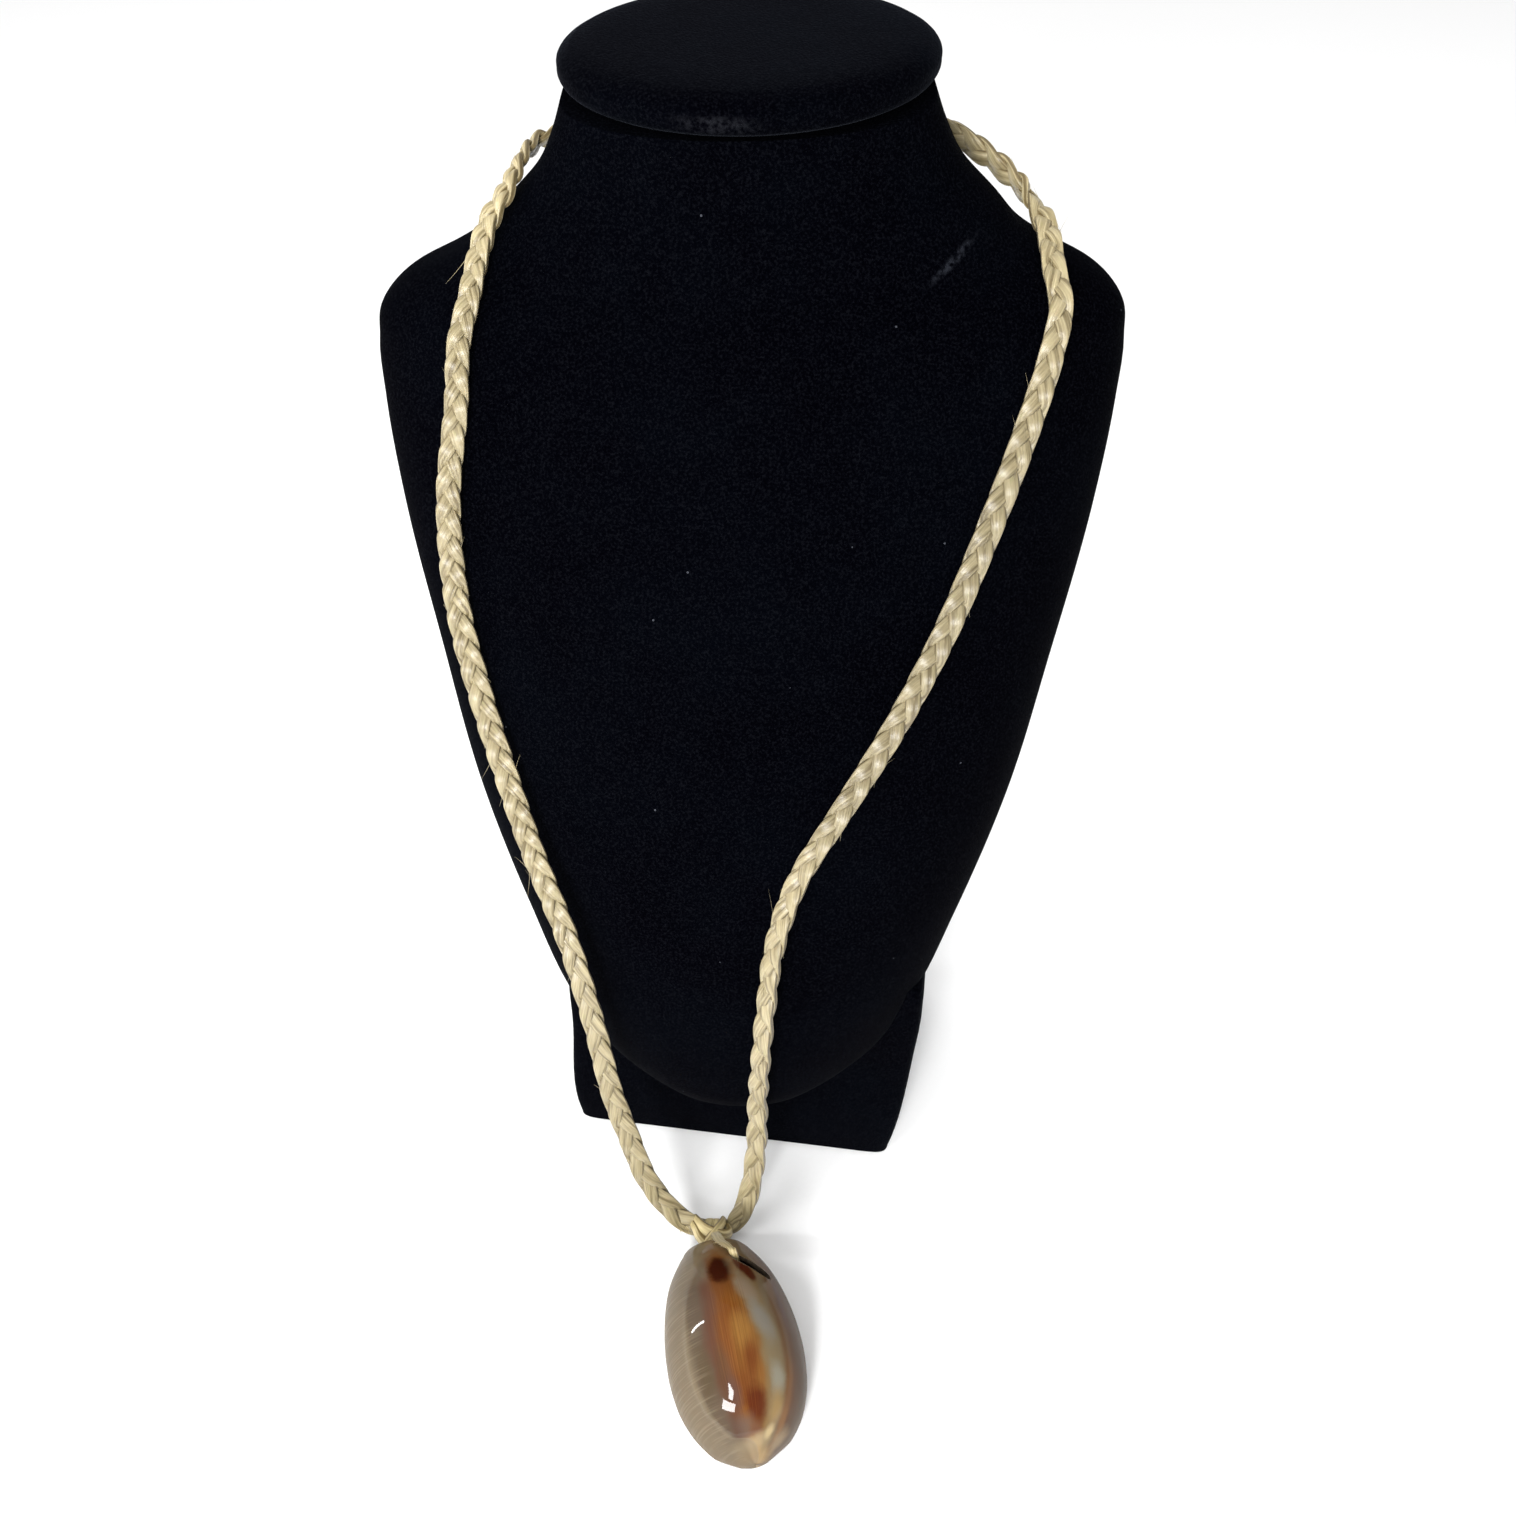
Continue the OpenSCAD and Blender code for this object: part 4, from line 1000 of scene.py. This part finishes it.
for k, (angle, tone) in enumerate(SHELL_ZONES):
    ramp.color_ramp.elements[k].position = (angle - ZONE_FROM)/(ZONE_TO - ZONE_FROM)
    ramp.color_ramp.elements[k].color = (*srgb(*tone), 1)
colour = ramp.outputs[0]
print("shell has", len(SHELL_ZONES), "zones round it")


# %% Spots of the cowrie
def oval(u, a, half_u, half_a, soft, wobble=0.9):
    """Mask of one soft oval, its edge ruffled by the cloud noise."""
    group = add(glaze, "ShaderNodeGroup", node_tree=oval_group)
    values = {"Along": along, "Round": around, "Middle along": u, "Middle round": a, "Half along": half_u,
              "Half round": half_a, "Soft": soft, "Wobble": times(glaze, cloud, wobble)}
    for key, value in values.items():
        if isinstance(value, bpy.types.NodeSocket):
            glaze.links.new(value, group.inputs[key])
        else:
            group.inputs[key].default_value = value
    return group.outputs["Mask"]


def laid(under, mask, strength, tone):
    """The colour under it with a tone laid over where the mask is, at a strength."""
    return mixed(glaze, times(glaze, mask, strength), under, srgb(*tone))


# middle along and round, half sizes along and round, softness, colour, strength
SHELL_SPOTS = [
    (0.060, 95, 0.12, 60, 0.7, (150, 128, 98), 0.8), (0.175, 122, 0.12, 16, 0.7, (160, 142, 112), 0.8),
    (0.300, 111, 0.06, 6, 0.7, (130, 114, 94), 0.8), (0.445, 110, 0.09, 6, 0.7, (116, 80, 62), 0.8),
    (0.330, 90, 0.10, 13, 0.8, (112, 66, 34), 0.75), (0.308, 94, 0.070, 11.5, 0.3, (60, 23, 12), 0.97),
    (0.438, 74.5, 0.03, 3.5, 0.6, (130, 96, 84), 0.8), (0.530, 92, 0.08, 8, 0.7, (128, 74, 30), 0.75),
    (0.608, 87, 0.07, 8, 0.7, (158, 112, 54), 0.9), (0.600, 114, 0.10, 5, 0.7, (124, 78, 60), 0.45),
    (0.640, 101, 0.10, 6, 0.7, (134, 80, 38), 0.6), (0.713, 82, 0.06, 6, 0.7, (114, 58, 26), 0.8),
    (0.730, 107, 0.08, 6, 0.7, (108, 78, 56), 0.7), (0.777, 76, 0.06, 4, 0.7, (140, 92, 42), 0.7),
    (0.800, 92, 0.06, 9, 0.7, (114, 62, 30), 0.7), (0.818, 103, 0.06, 6, 0.7, (100, 74, 66), 0.7),
    (0.860, 83, 0.055, 10, 0.6, (92, 36, 16), 0.9), (0.735, 124, 0.10, 7, 0.7, (108, 91, 68), 0.8),
    (0.470, 122, 0.10, 8, 0.7, (118, 102, 86), 0.7), (0.850, 120, 0.06, 8, 0.7, (118, 102, 86), 0.6),
    (0.915, 102, 0.035, 14, 0.7, (112, 92, 80), 0.85), (0.930, 86, 0.02, 8, 0.7, (116, 80, 60), 0.8),
    (0.720, 47, 0.12, 4, 0.7, (118, 92, 68), 0.7), (0.830, 46, 0.10, 5, 0.7, (126, 88, 54), 0.8),
    (0.910, 48, 0.04, 5, 0.7, (136, 98, 62), 0.8), (0.480, 42, 0.10, 3, 0.7, (102, 80, 74), 0.7),
    (0.960, 36, 0.035, 14, 0.7, (156, 136, 108), 0.8), (0.970, 108, 0.022, 26, 0.7, (188, 166, 128), 0.9),
    (0.958, 80, 0.020, 16, 0.7, (174, 150, 112), 0.85), (1.000, 93, 0.022, 60, 0.7, (172, 144, 102), 0.9)]
for u, a, half_u, half_a, soft, tone, strength in SHELL_SPOTS:
    colour = laid(colour, oval(u, a, half_u, half_a, soft), strength, tone)
print("shell has", len(SHELL_SPOTS), "spots")

# %% [markdown]
# One pale band runs down the back where the two flaps of the live snail met. Its middle is not straight,
# so a curve node turns the length along the shell into the angle at which the band lies. A second such
# line bounds the paler left flank, in the shape of a crescent.

# %% Band and crescent
# share along the shell, and angle round it
BAND = [(0.0, 84), (0.30, 80), (0.365, 77), (0.487, 72), (0.58, 66), (0.65, 62.5), (0.72, 61), (0.78, 59),
        (0.84, 59), (0.89, 60.5), (0.935, 65), (1.0, 70)]
CRESCENT = [(0.0, 118), (0.20, 122), (0.38, 131), (0.555, 135.5), (0.66, 138.5), (0.763, 137.5),
            (0.863, 134), (0.925, 124), (0.95, 98), (1.0, 80)]
# patches on the band: place along the shell, half sizes along and round, softness, colour, strength
BAND_PATCHES = [
    (0.430, 0.060, 7.0, 0.7, (146, 126, 104), 0.9), (0.565, 0.075, 7.0, 0.7, (139, 132, 120), 0.9),
    (0.785, 0.05, 7.0, 0.7, (150, 145, 128), 0.9), (0.870, 0.05, 7.0, 0.7, (160, 132, 88), 0.9),
    (0.935, 0.018, 6.0, 0.6, (196, 174, 130), 0.85)]
# painted shade: a dark brown streak in three ovals under the saw cut, where the cut's shade falls: middle
# along and round, half sizes along and round
SLOT_SHADE_STREAK = [(0.280, 73, 0.050, 5.0), (0.318, 68.5, 0.050, 5.0), (0.350, 65.5, 0.040, 4.5)]


def bent_line(points):
    """Angle of a line at each length along the shell: a curve through its points in shares of 180 degrees."""
    node = add(glaze, "ShaderNodeFloatCurve", {"Value": along})
    line = node.mapping.curves[0]
    while len(line.points) < len(points):
        line.points.new(0.5, 0.5)
    for point, (u, a) in zip(line.points, points):
        point.location = (u, a/180)
    node.mapping.update()
    return times(glaze, node.outputs[0], 180.0)


band_line = bent_line(BAND)
crescent_line = bent_line(CRESCENT)
colour = laid(colour, oval(0.61, band_line, 0.32, 8.5, 0.6, 1.1), 0.9, (134, 118, 90))
for u, half_u, half_a, soft, tone, strength in BAND_PATCHES:
    colour = laid(colour, oval(u, band_line, half_u, half_a, soft), strength, tone)
# the painted shade under the saw cut
for u, a, half_u, half_a in SLOT_SHADE_STREAK:
    colour = laid(colour, oval(u, a, half_u, half_a, 0.4), 0.93, (82, 36, 20))
past_line = calc(glaze, "SUBTRACT", plus(glaze, around, times(glaze, cloud, 12.0)), crescent_line)
colour = laid(colour, between(glaze, past_line, -6, 4), 0.6, (140, 123, 99))
colour = laid(colour, oval(0.72, crescent_line, 0.24, 3.0, 0.9, 0.8), 0.5, (160, 145, 120))
print("band has", len(BAND_PATCHES), "patches")

# %% [markdown]
# Fine streaks run along the back under the glaze, and pale growth lines cross the left flank. Both are
# noise that is drawn out one way. All colours are darkened at the end, as painted shade: they are
# written as they look in the photograph's light, and this studio is brighter. The left flank is lit
# more strongly than the back, so it is darkened more.

# %% Growth lines and glaze
# painted shade: shares that darken the shell's colours on its back and, more, on its left flank, between two
# angles round it
BACK_PAINTED_SHADE, FLANK_SHADE, FLANK_FROM, FLANK_TO = 0.62, 0.44, 97, 114
# the growth lines lean: they lie a little further along the shell towards its back
LINE_LEAN = 0.00022
streak = noise(glaze, stretched(glaze, along, 2.5, around, 0.85), 1.0, 2, 0.5)
leaning = plus(glaze, along, times(glaze, around, LINE_LEAN))
hair = noise(glaze, stretched(glaze, leaning, 110.0, around, 0.014), 1.0, 2, 0.5)
hairs = times(glaze, between(glaze, around, 114, 136), between(glaze, hair, 0.46, 0.66))
colour = laid(colour, hairs, 0.30, (182, 166, 140))
on_back = times(glaze, between(glaze, around, 72, 82), between(glaze, around, 116, 102),
                between(glaze, along, 0.32, 0.5), between(glaze, along, 0.94, 0.8))
colour = laid(colour, times(glaze, between(glaze, streak, 0.55, 0.35), on_back), 0.22, (70, 36, 16))
colour = laid(colour, times(glaze, between(glaze, streak, 0.52, 0.72), on_back), 0.16, (176, 124, 60))
shade = between(glaze, around, FLANK_FROM, FLANK_TO, BACK_PAINTED_SHADE, FLANK_SHADE)
colour = mixed(glaze, 1.0, colour, shade, "MULTIPLY")
hollow = times(glaze, inside, between(glaze, along, 0.985, 0.955))
colour = mixed(glaze, hollow, colour, srgb(150, 132, 118))
glaze.links.new(colour, glaze_shader.inputs["Base Color"])
glaze.links.new(between(glaze, cloud, -0.2, 0.2, 0.28, 0.42), glaze_shader.inputs["Roughness"])
emboss(glaze, glaze_shader, times(glaze, streak, between(glaze, along, 0.97, 0.90)), 0.12, 0.0003)
print("cowrie finish has", len(glaze.nodes), "nodes")

# %% [markdown]
# The saw cut is a slot ground across the back near the lashed end. It shows the bare chalky wall.
# The slot's box is taken out of the shell's mesh, and the new faces keep the box's own finish.

# %% Saw cut
CUT_LEN, CUT_W, CUT_SHIFT = 14.2, 3.0, -0.3
CUT_TILT, CUT_SPIN = math.radians(24), math.radians(-40)
# the cut's middle in shares of the shell's half width, length and height, and how far it goes down and up
CUT_PLACE, CUT_DOWN, CUT_UP = (0.48, -0.304, 0.84), -0.22, 0.28
sawn, tree, shader = finish_of("sawn shell", Roughness=0.85)
chalk = between(tree, noise(tree, own_place(tree), 900, 3), 0.35, 0.7)
tree.links.new(mixed(tree, chalk, srgb(72, 60, 48), srgb(112, 98, 80)), shader.inputs["Base Color"])
turn = circle(32)
cut_ring = np.stack([powered(np.cos(turn), 0.6)*CUT_LEN/2 + CUT_SHIFT, powered(np.sin(turn), 0.7)*CUT_W/2,
                     0*turn], -1)
slot = np.stack([cut_ring + [0, 0, z] for z in (CUT_DOWN*SHELL_H, CUT_UP*SHELL_H)])
tilted = np.stack([slot[..., 0]*math.cos(CUT_TILT) + slot[..., 2]*math.sin(CUT_TILT), slot[..., 1],
                   -slot[..., 0]*math.sin(CUT_TILT) + slot[..., 2]*math.cos(CUT_TILT)], -1)
cut_middle = np.array(CUT_PLACE)*[SHELL_W/2, SHELL_L, SHELL_H]
cutter = skin("cutter", on_table(turned_flat(tilted, CUT_SPIN) + cut_middle))
cutter.data.materials.append(sawn)
cowrie.data.materials.append(cowrie_finish)
carve(cowrie, cutter)
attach(cowrie, "root")
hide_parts("shell")
print("cowrie has", triangles(cowrie), "triangles and", len(cowrie.data.materials), "finishes")

# %% [markdown]
# One more ribbon ties the shell on. It leaves the lashing, passes over the shell's end, goes down the
# saw cut and comes out again at the end of the mouth. Its torn edges fray where it turns.

# %% Ribbon through the cut
TIE_HALF_W, TIE_HALF_T = 1.6, 0.55
# shares of half width, length and height of the shell, size share, and how far it lies along the cut
TIE = [
    (0.11, -0.03, 0.25, 1, 0), (0.08, 0.035, 0.465, 1, 0), (0.07, 0.08, 0.605, 1, 0.1),
    (0.085, 0.14, 0.74, 0.95, 0.2), (0.15, 0.19, 0.835, 0.85, 0.4), (0.20, 0.222, 0.862, 0.8, 0.7),
    (0.232, 0.238, 0.80, 0.75, 1), (0.243, 0.243, 0.62, 0.7, 1), (0.20, 0.20, 0.38, 0.7, 0.6),
    (0.12, 0.110, 0.17, 0.65, 0.2), (0, 0.006, 0.095, 0.55, 0), (0, -0.008, 0.092, 0.5, 0)]
tie_table = np.array(TIE)*[SHELL_W/2, -SHELL_L, SHELL_H, 1, 1]
tie_rows = evenly(curve_through(tie_table, 30), 0.3)[0]
tie_way = unit(np.gradient(tie_rows[:, :3], axis=0))
# the ribbon's width goes from straight across the shell to the way of the cut
across_shell = np.array([1.0, 0, 0])
along_cut = unit(np.array([math.cos(CUT_SPIN), math.sin(CUT_SPIN), -0.4]))
broad = across_shell + (along_cut - across_shell)*np.clip(tie_rows[:, 4:5], 0, 1)
broad = unit(broad - tie_way*along_part(broad, tie_way))
tie_path = on_table(tie_rows[:, :3])
tie_face = turned_flat(np.cross(broad, tie_way), SHELL_TURN)
shell_ribbon = bundle("shell_ribbon", tie_path, tie_face, TIE_HALF_W*tie_rows[:, 3], TIE_HALF_T, points=28,
                      ribbons=7, depth=0.14, seed=5.0)
settle(shell_ribbon, tie_raffia, "tie_raffia", "shell_tie")

# %% Fray of the ribbon
FRAY, FRAY_TO, FRAY_OUT, FRAY_UP = 46, 0.42, 1.35, 0.25
fray_at = rng.integers(10, int(len(tie_path)*FRAY_TO), FRAY)
fray_side = rng.choice([-1.0, 1.0], FRAY)
side_way = turned_flat(broad[fray_at], SHELL_TURN)*fray_side[:, None]
path_way = unit(np.gradient(tie_path, axis=0))[fray_at]*rng.choice([-1, 1], FRAY)[:, None]
fray_start = tie_path[fray_at] + side_way*FRAY_OUT*tie_rows[fray_at, 3:4] + tie_face[fray_at]*FRAY_UP
fray_way = unit(side_way*drawn(0.2, 1, FRAY) + path_way)
fray = threads("ribbon_fray", fray_start, fray_way, tie_face[fray_at]*drawn(0.0, 0.6, FRAY),
               rng.uniform(0.9, 2.6, FRAY), rng.uniform(0.05, 0.10, FRAY))
settle(fray, tie_raffia, "tie_raffia")

# %% [markdown]
# The studio is a plain white floor under a soft white sky. A broad light overhead and a smaller one in
# front on the left give the soft shading, and neither is mirrored in the glaze. Three small lights
# stand where windows would be and are mirrored: two panes in front make the long highlight low on the
# shell, and a narrow one on the left makes the short highlight on its flank.

# %% Floor and light
FLOOR_HALF, SKY_STRENGTH = 4000.0, 0.36
corners = np.array([(-1, -1, 0), (1, -1, 0), (1, 1, 0), (-1, 1, 0)])*FLOOR_HALF
floor = placed("floor", mesh_of("floor", corners, [(0, 1, 2, 3)]))
paper, tree, shader = finish_of("white paper", Roughness=0.9, Specular_IOR_Level=0.1)
mottle = noise(tree, own_place(tree), 700, 3)
tree.links.new(mixed(tree, mottle, (0.93, 0.93, 0.93), (0.96, 0.96, 0.96)), shader.inputs["Base Color"])
floor.data.materials.append(paper)
world = bpy.data.worlds.new("soft sky")
bpy.context.scene.world = world
world.use_nodes = True
sky = world.node_tree.nodes["Background"]
sky.inputs["Color"].default_value = (1, 1, 1, 1)
sky.inputs["Strength"].default_value = SKY_STRENGTH
bpy.context.scene.view_settings.view_transform = "Standard"
shell_middle = np.array([-1, -114, 25])*MM
bust_middle = np.array([0, 0, 150])*MM


def soft_light(name, way, far_off, wide, high, power, aim=shell_middle, spin=0.0, mirrored=True):
    """Rectangular light at a distance along a way from the point that it faces, turned about that way."""
    data = bpy.data.lights.new(name, "AREA")
    data.shape = "RECTANGLE"
    data.size = wide
    data.size_y = high
    data.energy = power
    lamp = placed(name, data)
    way = unit(np.array(way, float))
    lamp.location = aim + way*far_off
    facing = Vector(way).to_track_quat("Z", "Y").to_matrix() @ Matrix.Rotation(spin, 3, "Z")
    lamp.rotation_euler = facing.to_euler()
    # a broad light stands for a whole bright room, so it isn't mirrored as one patch in the glaze
    lamp.visible_glossy = mirrored


soft_light("key", (-0.60, -0.62, 0.80), 1.7, 0.7, 0.7, 9, bust_middle, mirrored=False)
soft_light("overhead", (0.0, 0.19, 1.0), 2.5, 4.0, 4.0, 78, bust_middle, mirrored=False)
soft_light("window low", (-0.248, -0.874, 0.417), 1.1, 0.38, 0.21, 12.5)
soft_light("window high", (-0.183, -0.768, 0.614), 1.1, 0.12, 0.18, 3.6, spin=-0.1)
soft_light("small window", (-0.886, 0.175, 0.43), 1.0, 0.03, 0.44, 3.0, spin=0.2)
